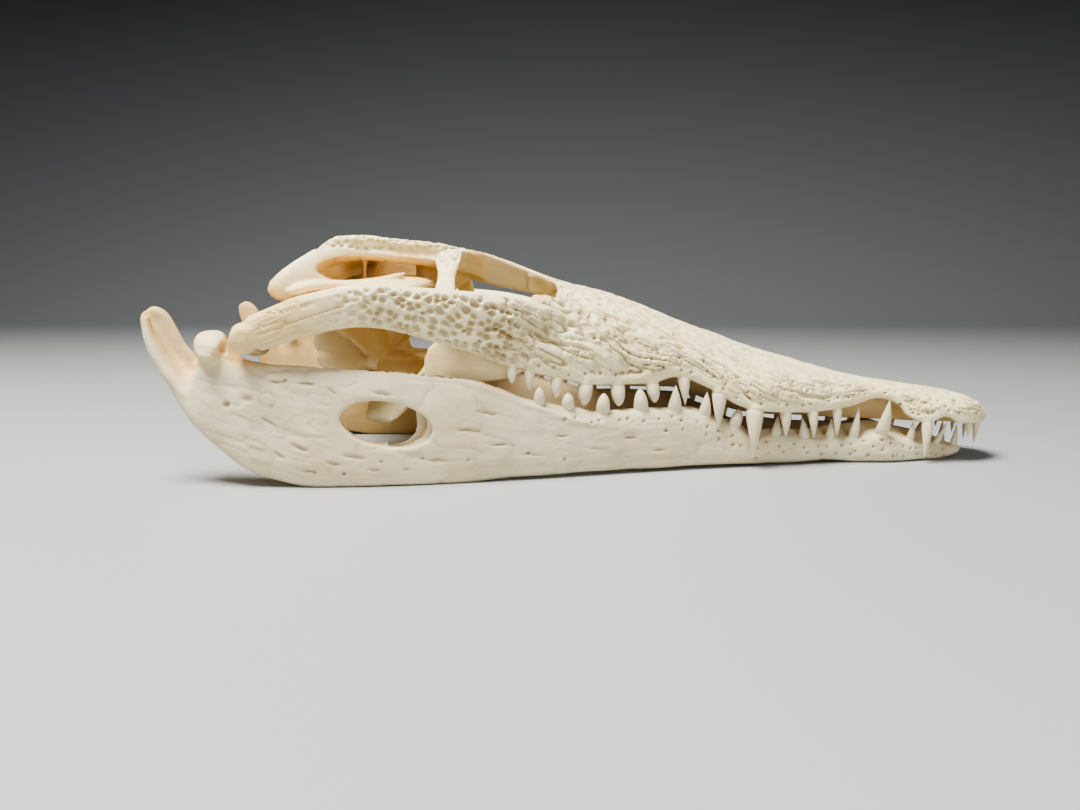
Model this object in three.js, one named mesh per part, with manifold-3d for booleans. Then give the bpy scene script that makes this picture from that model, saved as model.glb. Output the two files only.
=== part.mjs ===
// Skull of a young Nile-type crocodile, jaws closed, lying on its lower jaw.
// Millimetres. +X points to the snout tip, +Y to the animal's left, +Z up from the table.
// The cranium is modelled whole and then parted by thin cuts; each half of the lower jaw is
// a piece of its own. Places along the skull are given as the distance behind the snout tip.
import * as THREE from 'three';
import { mergeVertices } from 'three/addons/utils/BufferGeometryUtils.js';
import Module from 'manifold-3d';

const wasm = await Module();
wasm.setup();

// ---------------------------------------------------------------- driving dimensions
const length = 280;              // snout tip to the rear tips of the lower jaw
const rearCut = 158;             // the snout ends here, in the front of the eye sockets
const browCut = 180;             // the brow meets the skull table
const wallCut = 174;             // the inner cheek wall leaves the palate here
const jugalCut = 192;            // the cheek bar passes outside the quadrate behind this
const cheekCut = 236;            // the cheek bar ends in front of the jaw joint
const browHalf = 24;             // the brow and the palate bar lie within this
const braincaseHalf = 17;        // the braincase lies within this
const gap = 0.3;                 // width of every parting cut
const toothSides = 5;
const limbSides = 8;

const bone = { color: 0xe9e0cc, roughness: 0.62, metalness: 0 };
const ochreBone = { color: 0xdcc190, roughness: 0.58, metalness: 0 };

// ---------------------------------------------------------------- curves and closed solids
// A smooth curve through [where, value] knots that never overshoots them.
function through(...knots) {
  const last = knots.length - 1;
  const rise = (i) => (knots[i + 1][1] - knots[i][1]) / (knots[i + 1][0] - knots[i][0]);
  const slope = (i) => {
    if (i === 0) return rise(0);
    if (i === last) return rise(last - 1);
    const before = rise(i - 1);
    const after = rise(i);
    return before * after <= 0 ? 0 : (2 * before * after) / (before + after);
  };
  return (where) => {
    const x = Math.min(Math.max(where, knots[0][0]), knots[last][0]);
    let i = 0;
    while (i < last - 1 && x > knots[i + 1][0]) i += 1;
    const span = knots[i + 1][0] - knots[i][0];
    const t = (x - knots[i][0]) / span;
    const u = 1 - t;
    return knots[i][1] * u * u * (1 + 2 * t) + knots[i + 1][1] * t * t * (3 - 2 * t)
      + slope(i) * span * t * u * u - slope(i + 1) * span * t * t * u;
  };
}

const place = (behind, y, z) => new THREE.Vector3(length / 2 - behind, y, z);

function signedVolume(points, faces) {
  const cross = new THREE.Vector3();
  let six = 0;
  for (const [a, b, c] of faces) {
    six += points[a].dot(cross.crossVectors(points[b], points[c]));
  }
  return six;
}

// Closed skin over a row of rings with equal point counts; both ends are capped. Each quad is
// split along its shorter diagonal, so that the two sides of the skull come out alike.
function loft(rings) {
  const count = rings[0].length;
  const points = rings.flat();
  const faces = [];
  for (let r = 0; r < rings.length - 1; r += 1) {
    for (let k = 0; k < count; k += 1) {
      const a = r * count + k;
      const b = r * count + ((k + 1) % count);
      const rising = points[a].distanceToSquared(points[b + count]);
      const falling = points[b].distanceToSquared(points[a + count]);
      if (rising < falling) faces.push([a, b, b + count], [a, b + count, a + count]);
      else faces.push([a, b, a + count], [b, b + count, a + count]);
    }
  }
  const cap = (ring, start, reversed) => {
    const middle = points.length;
    points.push(ring.reduce((sum, p) => sum.add(p), new THREE.Vector3()).divideScalar(count));
    for (let k = 0; k < count; k += 1) {
      const next = (k + 1) % count;
      faces.push(reversed ? [middle, start + next, start + k] : [middle, start + k, start + next]);
    }
  };
  cap(rings[0], 0, true);
  cap(rings.at(-1), (rings.length - 1) * count, false);
  const outward = signedVolume(points, faces) > 0 ? faces : faces.map(([a, b, c]) => [a, c, b]);
  return new wasm.Manifold(new wasm.Mesh({
    numProp: 3,
    vertProperties: new Float32Array(points.flatMap((p) => [p.x, p.y, p.z])),
    triVerts: new Uint32Array(outward.flat()),
  }));
}

const join = (...solids) => solids.reduce((sum, solid) => sum.add(solid));
const bothSides = (build) => join(build(-1), build(1));

const powered = (value, power) => Math.sign(value) * Math.abs(value) ** power;

// A bar, plate or hollow along a path of [behind, out, z, halfAcross, halfTall] stations, on
// one side of the middle plane. squareness 2 is an ellipse, and more is boxier.
function limb(side, stations, options = {}) {
  const { up = [0, 0, 1], steps = 1, squareness = 2.4, sides = limbSides, roll = 0 } = options;
  const centres = stations.map(([behind, out, z]) => place(behind, out, z));
  const path = new THREE.CatmullRomCurve3(centres, false, 'catmullrom', 0.5);
  const count = (stations.length - 1) * steps;
  const mirror = new THREE.Vector3(1, side, 1);
  const rings = [];
  for (let i = 0; i <= count; i += 1) {
    const t = i / count;
    const centre = path.getPoint(t);
    const along = path.getTangent(t);
    const across = new THREE.Vector3(...up).cross(along).normalize();
    const tall = along.clone().cross(across).normalize();
    across.applyAxisAngle(along, roll);
    tall.applyAxisAngle(along, roll);
    const whole = Math.min(Math.floor(t * (stations.length - 1)), stations.length - 2);
    const part = t * (stations.length - 1) - whole;
    const size = (index) => THREE.MathUtils.lerp(
      stations[whole][index], stations[whole + 1][index], part);
    rings.push(Array.from({ length: sides }, (_, k) => {
      const angle = ((k + 0.5) / sides) * 2 * Math.PI;
      return centre.clone()
        .addScaledVector(across, size(3) * powered(Math.cos(angle), 2 / squareness))
        .addScaledVector(tall, size(4) * powered(Math.sin(angle), 2 / squareness))
        .multiply(mirror);
    }));
  }
  return loft(rings);
}

function fromGeometry(geometry) {
  geometry.deleteAttribute('normal');
  geometry.deleteAttribute('uv');
  const merged = mergeVertices(geometry, 1e-4);
  return new wasm.Manifold(new wasm.Mesh({
    numProp: 3,
    vertProperties: new Float32Array(merged.attributes.position.array),
    triVerts: new Uint32Array(merged.index.array),
  }));
}

// A prism across the skull: a side-view outline of [behind, z] points between two y planes.
function prism(outline, yLow, yHigh) {
  const shape = new THREE.Shape(outline.map(([behind, z]) => (
    new THREE.Vector2(length / 2 - behind, z))));
  const geometry = new THREE.ExtrudeGeometry(shape, { depth: yHigh - yLow, bevelEnabled: false });
  geometry.rotateX(Math.PI / 2);
  geometry.translate(0, yHigh, 0);
  return fromGeometry(geometry);
}

const mirrored = (side, near, far) => (side > 0 ? [near, far] : [-far, -near]);

const oval = (behind, z, halfLong, halfTall, tilt, count = 14) => (
  Array.from({ length: count }, (_, k) => {
    const angle = (k / count) * 2 * Math.PI;
    const along = halfLong * Math.cos(angle);
    const up = halfTall * Math.sin(angle);
    return [behind + along * Math.cos(tilt) - up * Math.sin(tilt),
      z + along * Math.sin(tilt) + up * Math.cos(tilt)];
  }));

// ---------------------------------------------------------------- snout
const crown = through([0, 17.6], [1.5, 19.4], [4, 21], [8, 22.8], [14, 24.6], [22, 25.4], [36, 27.4],
  [51, 30.2], [65, 34.2], [80, 38.5], [94, 43.5], [109, 48.8], [123, 54.5], [137, 59.4], [150, 62.6],
  [165, 67.4]);
const snoutHalfWidth = through([0, 4], [1.5, 8], [4, 11.5], [8, 14.4], [14, 16.8], [20, 17.6],
  [26, 17.4], [32, 15.8], [38, 14], [44, 14.4], [52, 17], [60, 20], [70, 23.4], [80, 27], [87, 28.6],
  [95, 27.8], [105, 27.4], [115, 29], [125, 31.4], [135, 34], [145, 37.2], [155, 40.7], [165, 44]);
const toothMargin = through([0, 14.2], [8, 13.6], [14.6, 13.8], [18.9, 16.6], [25, 13.9], [31.6, 16],
  [36, 20.8], [41.6, 22.3], [51, 19.9], [66, 18.4], [82, 19.2], [91, 20.7], [102, 26.9], [114, 31],
  [122, 29], [139, 29], [153, 31.5], [165, 34.6]);
const widestHeight = through([0, 16], [20, 18.4], [40, 24.4], [60, 23], [88, 24.5], [110, 35], [135, 37],
  [165, 42]);

// One side of the cross-section, from the middle of the palate up to the crown.
function snoutSection(behind) {
  const width = snoutHalfWidth(behind);
  const margin = toothMargin(behind);
  const widest = widestHeight(behind);
  const palate = margin + 0.8;
  const side = [[0, palate], [width * 0.72, palate], [width * 0.92, margin]];
  const archSteps = 4;
  for (let k = 0; k <= archSteps; k += 1) {
    const angle = (k / archSteps) * (Math.PI / 2);
    side.push([width * Math.cos(angle) ** 0.9,
      widest + (crown(behind) - widest) * Math.sin(angle) ** 0.95]);
  }
  const right = side.slice(1, -1).reverse().map(([y, z]) => [-y, z]);
  return [...side, ...right].map(([y, z]) => place(behind, y, z));
}

const snoutStations = [0, 1.5, 4.5, 9, 14.5, 20, 26, 32, 38, 44, 52, 66, 79, 87, 94, 103, 114, 124, 142, 162.6];
const snoutBlock = loft(snoutStations.map(snoutSection));

const nostril = limb(1, [[13.5, 0, 16, 3, 3], [13.5, 0, 21, 5, 5], [13.5, 0, 34, 6.5, 7]],
  { up: [1, 0, 0] });

// ---------------------------------------------------------------- upper teeth
// Each tooth: behind, out, z at its neck, then behind and z of its tip, and its width there.
// lean carries the tip outwards. The root goes into the jaw.
const rootDepth = 2;
const swellShare = 0.4;          // how far along the crown it is fullest
function tooth(side, [behind, out, neck, tipBehind, tipZ, width], lean = 0) {
  const along = (share) => [
    THREE.MathUtils.lerp(behind, tipBehind, share),
    out + lean * share,
    THREE.MathUtils.lerp(neck, tipZ, share),
  ];
  const ring = ([atBehind, atOut, z], radius) => Array.from({ length: toothSides }, (_, k) => {
    const angle = (k / toothSides) * 2 * Math.PI;
    return place(atBehind + radius * Math.cos(angle), side * (atOut + radius * Math.sin(angle)), z);
  });
  const rootShare = -rootDepth / Math.abs(tipZ - neck);
  return loft([
    ring(along(rootShare), width * 0.48),
    ring(along(swellShare), width * 0.44),
    ring(along(1), width * 0.07),
  ]);
}

const upperTeeth = [
  [2.6, 3.4, 14.6, 3.4, 5.2, 2.2], [4.8, 8.6, 14.4, 5.4, 7, 2.2], [9.4, 12.6, 14, 9.8, 8.6, 2],
  [25.2, 16, 14.2, 26, 2.2, 3.6], [57, 17.2, 18.9, 56.8, 9.8, 3.1], [66.2, 20.4, 18.5, 65.6, 9.8, 3.4],
  [76.2, 23.4, 18.6, 76, 10.7, 3.9], [87.2, 26.2, 19.9, 87.4, 5.6, 5.8], [99, 25.7, 25.6, 99.2, 13.7, 4.6],
  [111, 26, 30.6, 110.4, 21.8, 3.8], [121.7, 28.4, 29, 120.8, 22.8, 3.9],
  [133.3, 31.2, 28.6, 132.8, 21.4, 4.2], [143.9, 34.6, 29.2, 144.3, 21.7, 4.6],
  [153.2, 37.6, 31.5, 153.4, 25.4, 3.8], [161.8, 40.3, 33.6, 161.8, 28.2, 3.2],
  [167.3, 42, 35.2, 167.3, 30.6, 3],
];
const upperLean = 0.6;

// ---------------------------------------------------------------- eye sockets and cheek bars
// The rim line over the eye, and the underside of the bar of bone between the sockets.
const browRim = through([150, 60], [156, 64.2], [165, 68], [178, 72.6], [191, 74.9]);
const browUnderside = through([150, 53], [157, 57], [177, 61.5], [192, 66]);
const browHalfWidth = through([150, 9], [156, 13], [163, 9.8], [172, 8.8], [179, 10.4], [185, 16],
  [190, 23]);

function browSection(behind) {
  const width = browHalfWidth(behind);
  const rim = browRim(behind);
  const under = browUnderside(behind);
  const side = [[0, under], [width * 0.55, under + 1.2], [width * 0.95, rim - 3.6], [width, rim - 1.4],
    [width * 0.9, rim], [width * 0.5, rim - 1.1], [0, rim - 1.6]];
  const right = side.slice(1, -1).reverse().map(([y, z]) => [-y, z]);
  return [...side, ...right].map(([y, z]) => place(behind, y, z));
}
const brow = loft([150, 156, 163, 172, 179, 185, 190].map(browSection));

// Behind the front of the sockets the snout block is hollow: an eye socket on each side,
// joined below the brow, and open down to the palate.
const socketHollow = bothSides((side) => limb(side, [
  [152.2, 28, 59.4, 2, 4.4], [154, 26.2, 60.6, 7.4, 8.8], [157.6, 24.6, 62, 12.6, 15.6],
  [162, 24.6, 62, 15, 20], [168, 24.6, 62, 16, 22],
], { squareness: 2.8 }));
const nasalHollow = limb(1, [[150.5, 0, 47, 10, 4], [154, 0, 48.4, 24, 8], [158, 0, 48.6, 27, 9.6],
  [168, 0, 49, 33, 11]], { squareness: 4 });

// Jugal and quadratojugal: the bar from the upper jaw to the jaw joint.
const cheekBar = (side) => limb(side, [
  [150, 31, 43, 3, 7], [158, 35.6, 44.6, 4.4, 10.2], [166, 40.2, 46.2, 4.2, 10.8],
  [175, 44, 49, 3.8, 9.8], [185, 47.2, 51, 3.5, 8.8], [195, 50.2, 53, 3.3, 7.5],
  [205, 53, 54.6, 3.2, 6.6], [215, 55.6, 54.6, 3.1, 6.1], [225, 57.2, 52.9, 3.2, 6.1],
  [234, 57.2, 50, 3.6, 5.9], [243, 55.4, 46.8, 4, 5.4],
], { squareness: 3, roll: 0.16 });

// Upright bar behind the eye, from the cheek bar up to the table corner.
const postorbitalBar = (side) => limb(side, [
  [188, 46, 54, 4, 2.4], [188, 41, 59, 3.4, 1.8], [188, 35.4, 63.6, 2.8, 1.5],
  [188, 30, 68, 3.8, 1.6], [188.6, 23, 71.2, 4.4, 1.6],
], { up: [0, 1, 0], sides: 6 });

// Inner wall behind the last teeth, that carries the pterygoid wing.
const ectopterygoid = (side) => limb(side, [
  [162, 36.4, 39, 2, 4.4], [171, 36.6, 38.4, 1.6, 7.2], [188.6, 36.8, 37.8, 1.4, 7.8],
  [191, 36.8, 34.4, 1.3, 5.6], [199, 36.9, 28, 1.4, 4], [207, 37.6, 24.2, 1.5, 3.4],
], { squareness: 3.4, sides: 6 });

// ---------------------------------------------------------------- skull table
const tableHalfWidth = through([183, 22], [190, 25.4], [204, 27.4], [219, 29.6], [227, 30.6], [231, 30]);
const tableRim = through([183, 73], [191, 74.9], [204, 76.3], [216, 77.4], [224, 76.8], [228, 74.8],
  [231, 72.4]);

function tableSection(behind) {
  const width = tableHalfWidth(behind);
  const rim = tableRim(behind);
  const side = [[0, rim - 8], [width * 0.86, rim - 8.2], [width * 0.98, rim - 6], [width * 0.92, rim - 4],
    [width, rim - 1.8], [width * 0.92, rim], [0, rim - 1.6]];
  const right = side.slice(1, -1).reverse().map(([y, z]) => [-y, z]);
  return [...side, ...right].map(([y, z]) => place(behind, y, z));
}
const table = loft([183, 191, 204, 218, 225, 231].map(tableSection));

// Upper temporal openings, one each side of the middle ridge.
const temporalOpening = (side) => limb(side, [
  [207.5, 12.5, 60, 6, 8.5], [207.5, 12.5, 73, 6.2, 8.4], [207.5, 12.6, 84, 8.4, 9.6],
], { up: [1, 0, 0], sides: 8 });

// Rear corner of the table: the squamosal prong.
const squamosalProng = (side) => limb(side, [
  [219, 27.6, 70, 2.6, 5.4], [226, 29.8, 68, 2.8, 6.2], [233, 33, 64.8, 2.7, 5.4],
  [239, 36.2, 61.2, 2.4, 4], [243.4, 38.4, 58.2, 1.6, 2.2],
], { squareness: 3 });
// Bone behind the ear opening, out to the end of the prong, and the opening itself.
const earBlock = (side) => limb(side, [
  [220, 12, 68.4, 6, 4], [228, 18, 67, 10, 4.6], [234.6, 25.4, 63.6, 10, 5.2], [241.6, 35.4, 59.4, 4, 3.6],
], { squareness: 3.4, sides: 6 });
const earOpening = (side) => limb(side, [
  [212.6, 40, 66.6, 18, 5.2], [213, 25, 66, 15, 4.4], [214, 15.4, 65.4, 7, 2.6],
], { squareness: 2.2, sides: 6 });
// The lip of bone under the ear opening, that rises in front to the edge of the table.
const earSill = (side) => limb(side, [
  [236, 37.6, 59.6, 2.4, 2.2], [229, 34.6, 61, 2.4, 1.6], [219, 33, 61, 2.4, 1.4], [208, 33, 61, 2, 1.2],
  [202, 31, 63.8, 1.4, 1.1], [197.6, 25.6, 68.6, 1.6, 1.6],
], { sides: 4 });

// ---------------------------------------------------------------- braincase and quadrates
const braincaseBody = limb(1, [
  [184, 0, 66, 6, 3], [192, 0, 64.5, 11, 7.6], [201, 0, 62, 11.6, 11], [210, 0, 58, 11.4, 15],
  [219, 0, 54, 12, 19], [227, 0, 53, 13, 19.6], [234, 0, 55, 12, 16],
], { squareness: 3 });
const occipitalCondyle = limb(1, [
  [230, 0, 50.4, 6, 5], [237, 0, 49.8, 4, 3.8], [240, 0, 49.2, 4.6, 4.2], [243.4, 0, 48.4, 4, 3.6],
  [245, 0, 48, 1.6, 1.4],
], { squareness: 2 });
const spinalOpening = limb(1, [[226, 0, 58.6, 3, 2.6], [233, 0, 58.8, 3.8, 3.2], [242, 0, 59.4, 4.6, 3.8]],
  { squareness: 2, sides: 6 });
const basalPlate = limb(1, [
  [206, 0, 42, 4, 6], [216, 0, 37.5, 8, 5], [224, 0, 35, 11, 6.4], [231, 0, 37.4, 10.4, 6.4],
  [234, 0, 40, 8.6, 6],
], { squareness: 2.8 });

const quadrateBody = (side) => limb(side, [
  [247, 51.4, 45.6, 9.4, 4.4], [239, 50, 49.4, 9.2, 4.8], [230, 46.8, 52.6, 11, 4.3],
  [220, 39, 56, 13.6, 3.9], [210, 27.6, 59.4, 14, 3.8], [203, 15, 61, 12, 3.6],
], { squareness: 2.8 });
const quadrateCondyle = (side) => limb(side, [
  [245.4, 40.8, 43.6, 1.6, 2], [245.4, 42.6, 43.4, 3.6, 4.2], [246.6, 46, 43.8, 3.9, 4.4],
  [246.8, 51, 44.6, 3.8, 4.2], [246.4, 56.4, 45.4, 4.3, 4.8], [245.8, 60, 45.8, 3, 3.6],
  [245.6, 61, 45.8, 1.4, 1.8],
], { squareness: 2 });
// The slanting plate from the quadrate down to the pterygoids, in front of the eardrum.
const quadrateRoot = (side) => limb(side, [
  [226, 30, 55, 3, 6], [219, 20, 49, 2.6, 7], [214, 11, 43, 2.4, 7.4], [211, 3, 40, 2.4, 7],
], { squareness: 2.8, sides: 6 });

// ---------------------------------------------------------------- palate
const palatineBar = limb(1, [
  [146, 0, 36, 10, 3.6], [162, 0, 36.4, 9, 3.4], [174, 0, 36.2, 7, 2.8], [186, 0, 36, 9, 2.6],
  [196, 0, 35.4, 13, 2.8], [207, 0, 34.8, 14, 3.4], [218, 0, 36, 11, 4.2],
], { squareness: 3 });
const pterygoidWing = (side) => limb(side, [
  [204, 6, 35, 12, 1.9], [202, 16, 33.2, 11.6, 1.7], [202.6, 27, 29.4, 10, 1.5], [206, 35.6, 24.4, 8.6, 1.6],
  [208.4, 40, 20.6, 6.6, 1.8], [209.4, 42, 19, 4.6, 1.2],
], { squareness: 2.6 });
const palateOpening = (side) => limb(side, [
  [119, 15.5, 30, 2, 8], [126, 16.4, 31, 4.6, 9], [138, 18.2, 33, 7, 11], [152, 20.6, 34, 11, 13],
  [172, 22.4, 36, 14.4, 16],
], { squareness: 3 });
const choana = limb(1, [[209, 0, 26, 4, 4.6], [206, 0, 35, 2, 2.4]], { up: [1, 0, 0], squareness: 2, sides: 6 });

// ---------------------------------------------------------------- cranium, whole
const hollows = join(socketHollow, nasalHollow, bothSides(palateOpening));
const cranium = join(
  snoutBlock.subtract(hollows).subtract(nostril),
  brow,
  table.subtract(bothSides(temporalOpening)),
  braincaseBody.subtract(bothSides(temporalOpening)).subtract(spinalOpening),
  occipitalCondyle, basalPlate,
  palatineBar.subtract(choana),
  bothSides(cheekBar), bothSides(postorbitalBar), bothSides(ectopterygoid),
  join(bothSides(squamosalProng), bothSides(earBlock)).subtract(bothSides(earOpening)),
  bothSides(earSill),
  bothSides(quadrateBody), bothSides(quadrateCondyle), bothSides(quadrateRoot),
  bothSides(pterygoidWing),
  bothSides((side) => join(...upperTeeth.map((row) => tooth(side, row, upperLean)))),
);

// ---------------------------------------------------------------- lower jaw
const jawOut = through([7.4, 3], [9, 6], [13, 8.4], [18, 10], [25, 12.2], [32, 14.4], [40, 16.2],
  [50, 15.8], [58, 16.8], [70, 19.4], [80, 21.6], [87, 23.2], [95, 25.2], [110, 29], [125, 33.2],
  [140, 38], [155, 42.6], [170, 47], [185, 51], [200, 54.2], [215, 56.2], [230, 57], [245, 56.6],
  [256, 55], [264, 52.6], [272, 50.6], [280, 49.4]);
const jawIn = through([7.4, 0], [52, 0], [56, 3.4], [62, 7.4], [70, 10.8], [80, 13.8], [95, 17.6],
  [110, 21], [125, 24.8], [140, 29], [155, 33.4], [170, 37.6], [185, 41], [200, 43.4], [215, 44.8],
  [230, 44.4], [245, 42.6], [256, 42.4], [264, 42], [272, 41.6], [280, 42.6]);
const jawTop = through([7.4, 3.8], [12, 4.6], [26, 7.2], [34, 9], [40.5, 10.8], [50, 9.1], [69, 9.7],
  [79, 11], [86, 9.7], [91, 14], [98, 15.6], [109, 20.2], [126, 20.7], [138, 20.4], [147, 22.2],
  [162, 25.3], [171, 29], [180, 32.6], [201, 35.4], [216, 36.6], [231, 36.8], [240, 37.4], [247, 38.4],
  [250, 39.6]);
const jawBottom = through([7.4, 3], [10, 1.6], [15, 0.5], [20, -0.3], [48, -0.3], [60, 0.6], [100, 0.9],
  [150, 0.9], [180, 0], [194, -0.9], [226, -0.9], [236, 0.8], [244, 2.8], [249.4, 5.4], [255, 9.6],
  [260.5, 14.2], [265.8, 20], [269.6, 25.8], [272.6, 30.6], [275.4, 35.8], [277.8, 41.6], [280, 50]);
// Behind the joint the upper face slants: high on the inner edge and lower on the outer one.
const rearInnerTop = through([249, 39], [251, 41.6], [254, 44.8], [257.5, 45.2], [260.5, 43], [262, 39.6],
  [264.6, 39.2], [267.3, 42.4], [269.8, 47.4], [271.6, 51.4], [274, 54.2], [277, 55.2], [280, 53.8]);
const rearOuterTop = through([249, 38.6], [250.8, 40.8], [253, 44.6], [255.5, 46], [258, 45.8], [260.6, 43],
  [262.6, 37], [265.6, 31.8], [267, 31.8], [270, 35.4], [273.4, 41.6], [276.2, 47.8], [278.4, 52.6],
  [280, 53]);

const jawRingSides = 10;
function jawSection(side, behind) {
  const inner = Math.max(jawIn(behind), gap / 2);
  const outer = jawOut(behind);
  const bottom = jawBottom(behind);
  const rear = THREE.MathUtils.smoothstep(behind, 247, 252);
  const middle = (inner + outer) / 2;
  return Array.from({ length: jawRingSides }, (_, k) => {
    const angle = ((k + 0.5) / jawRingSides) * 2 * Math.PI;
    const across = powered(Math.cos(angle), 0.62);
    const upward = powered(Math.sin(angle), 0.62);
    const share = (across + 1) / 2;
    const slanted = THREE.MathUtils.lerp(rearInnerTop(behind), rearOuterTop(behind), share);
    const top = THREE.MathUtils.lerp(jawTop(behind), slanted, rear);
    const z = (top + bottom) / 2 + ((top - bottom) / 2) * upward;
    return place(behind, side * (middle + ((outer - inner) / 2) * across), z);
  });
}

const jawStations = [7.4, 9, 13, 26, 34, 40, 50, 62, 79, 86, 91, 99, 110, 126, 144, 160, 180, 204,
  226, 240, 249, 252, 255, 258, 261, 263.5, 267, 271, 276, 280];

// The muscle hollow: a slot behind its inner wall in front, open inwards further back.
const slotHollow = (side) => limb(side, [
  [172, 42.6, 28, 1.6, 6], [180, 45.6, 27, 2.4, 14], [190, 48, 25.6, 2.9, 14.6], [205, 50, 26, 3.2, 15],
], { squareness: 3, sides: 6 });
const muscleHollow = (side) => limb(side, [
  [199.6, 42, 28, 5, 14], [206, 46, 27, 7.6, 15.4], [218, 46.6, 27.6, 7.6, 15.6], [228, 45.6, 28.6, 7, 14.6],
  [233, 44.6, 31, 4.6, 10],
], { squareness: 3, sides: 6 });
const jawWindow = (side) => prism(oval(205, 19.2, 13.8, 6.9, 0.2), ...mirrored(side, 50, 62));
const jointSeat = (side) => limb(side, [
  [245.6, 38.6, 44, 4.4, 4.9], [246.6, 46, 43.8, 4.4, 4.9], [246.8, 51, 44.6, 4.3, 4.7],
  [246.4, 56.4, 45.4, 4.8, 5.3], [246, 64, 46, 4.8, 5.3],
], { squareness: 2 });

const lowerTeeth = [
  [11, 5, 4.6, 10.4, 12, 2.6], [18.6, 8.6, 6.4, 15.6, 13.2, 2.5], [29, 11.6, 8.6, 28.6, 14.2, 2.6],
  [40, 14.4, 10.6, 39.6, 22, 4.2], [49.8, 14, 9.6, 48.6, 19.2, 3.2], [58.2, 14.8, 9.4, 58.1, 15.6, 3.4],
  [67.8, 16.8, 9.6, 68.6, 16.2, 3.5], [78.2, 19.2, 10.8, 77.8, 17, 3.2], [93.2, 22.8, 14.4, 91.8, 20, 4.2],
  [103.7, 25, 18.4, 103, 26, 4], [114, 27.4, 20.4, 113.8, 28.4, 4.2], [125.4, 30.4, 20.6, 125.9, 27.6, 4.2],
  [138.3, 34.2, 20.6, 137.9, 26.6, 4], [149.6, 37.6, 22.6, 149.6, 27.2, 3.8],
  [158.7, 40.4, 24.4, 158.7, 29.2, 3.4],
];
const lowerLean = 0.5;
const fangLean = 2.2;            // the fourth tooth leans out into the notch of the snout
const fang = 3;

// The underside is worn flat where the jaw rests.
const lowerJaw = (side) => join(
  loft(jawStations.map((behind) => jawSection(side, behind))).trimByPlane([0, 0, 1], 0)
    .subtract(slotHollow(side)).subtract(muscleHollow(side)).subtract(jawWindow(side))
    .subtract(jointSeat(side)),
  ...lowerTeeth.map((row, index) => tooth(side, row, index === fang ? fangLean : lowerLean)),
);

// ---------------------------------------------------------------- parting the cranium
const far = 90;                  // clear of the skull on every side
const half = gap / 2;
const rear = 255;                // behind the cranium
const wallTop = 46;              // the inner cheek wall and the palate lie below this
const roofCut = [[browCut, 64.4], [191, 65.4], [214, 66.5], [219, 62], [225, 60.4], [231, 58.6],
  [238, 55.6], [rear, 52]];
const palateCut = [[rearCut, wallTop], [196, wallTop], [215, 38.6], [221, 30], [224, 0]];
const quadrateCut = [[jugalCut, 43.4], [200, 45.8], [210, 49.4], [220, 51.9], [cheekCut, 53.6]];
const wallOut = 38.8;            // between the inner cheek wall and the cheek bar

// Side-view outlines, and plan-view prisms of [behind, out] points on one side of the middle.
const shifted = (line, offset) => line.map(([behind, value]) => [behind, value + offset]);
const above = (line) => [...line, [line.at(-1)[0], far], [line[0][0], far]];
const below = (line, floor = -1) => [...line, [line.at(-1)[0], floor], [line[0][0], floor]];

function planPrism(side, outline) {
  const shape = new THREE.Shape(outline.map(([behind, out]) => (
    new THREE.Vector2(length / 2 - behind, out * side))));
  const geometry = new THREE.ExtrudeGeometry(shape, { depth: far + 1, bevelEnabled: false });
  geometry.translate(0, 0, -1);
  return fromGeometry(geometry);
}
const box = (from, to, low, high, yHalf) => (
  prism([[from, low], [to, low], [to, high], [from, high]], -yHalf, yHalf));

const underRoof = prism(below(shifted(roofCut, -half)), -far, far)
  .add(box(rearCut, browCut + half / 2, -1, far, far));
const overPalate = prism(above([...shifted(palateCut.slice(0, 3), half), [221 + half, 30], [rear, 0]]),
  -far, far);
const underPalate = prism(below([...shifted(palateCut.slice(0, 3), -half), [221 - half, 30], [224, 0]]),
  -far, far);

const cheekRegion = (side) => {
  const outer = shifted(quadrateCut, half);
  const front = [[rearCut + half, far], [rearCut + half, browHalf + half]];
  const end = [...outer.slice(0, -1), [cheekCut - half, outer.at(-1)[1]], [cheekCut - half, far]];
  const lowPlan = planPrism(side, [...front, [wallCut, browHalf + half], [wallCut, wallOut + half],
    [jugalCut - 2, wallOut + half], ...end]);
  const highPlan = planPrism(side, [...front, [jugalCut - half, browHalf + half], ...end]);
  const top = box(rearCut, rear, wallTop, far, far);
  return lowPlan.subtract(top).add(highPlan.intersect(top)).intersect(underRoof);
};
const quadrateRegion = (side) => {
  const outer = shifted(quadrateCut, -half).reverse();
  return planPrism(side, [[jugalCut + half, braincaseHalf + half], [rear, braincaseHalf + half], [rear, far],
    [cheekCut + half, far], [cheekCut + half, outer[0][1]], ...outer.slice(1, -1),
    [jugalCut + half, outer.at(-1)[1]]]).intersect(underRoof).intersect(overPalate);
};
const palateRegion = box(rearCut + half, 230, -1, far, browHalf - half)
  .add(box(wallCut + half, 230, -1, far, wallOut - half))
  .add(box(196, 230, -1, 34, 44))
  .intersect(underPalate);

const regions = {
  snout: box(-1, rearCut - half, -1, far, far),
  brow: box(rearCut + half, browCut - half, 50, far, browHalf - half),
  skull_table: prism(above(shifted(roofCut, half)), -far, far).subtract(box(0, browCut + half, 0, far, far)),
  braincase: box(browCut + half, rear, 0, far, braincaseHalf - half).intersect(underRoof)
    .intersect(overPalate),
  palate: palateRegion,
  cheek_right: cheekRegion(-1),
  cheek_left: cheekRegion(1),
  quadrate_right: quadrateRegion(-1),
  quadrate_left: quadrateRegion(1),
};

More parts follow.
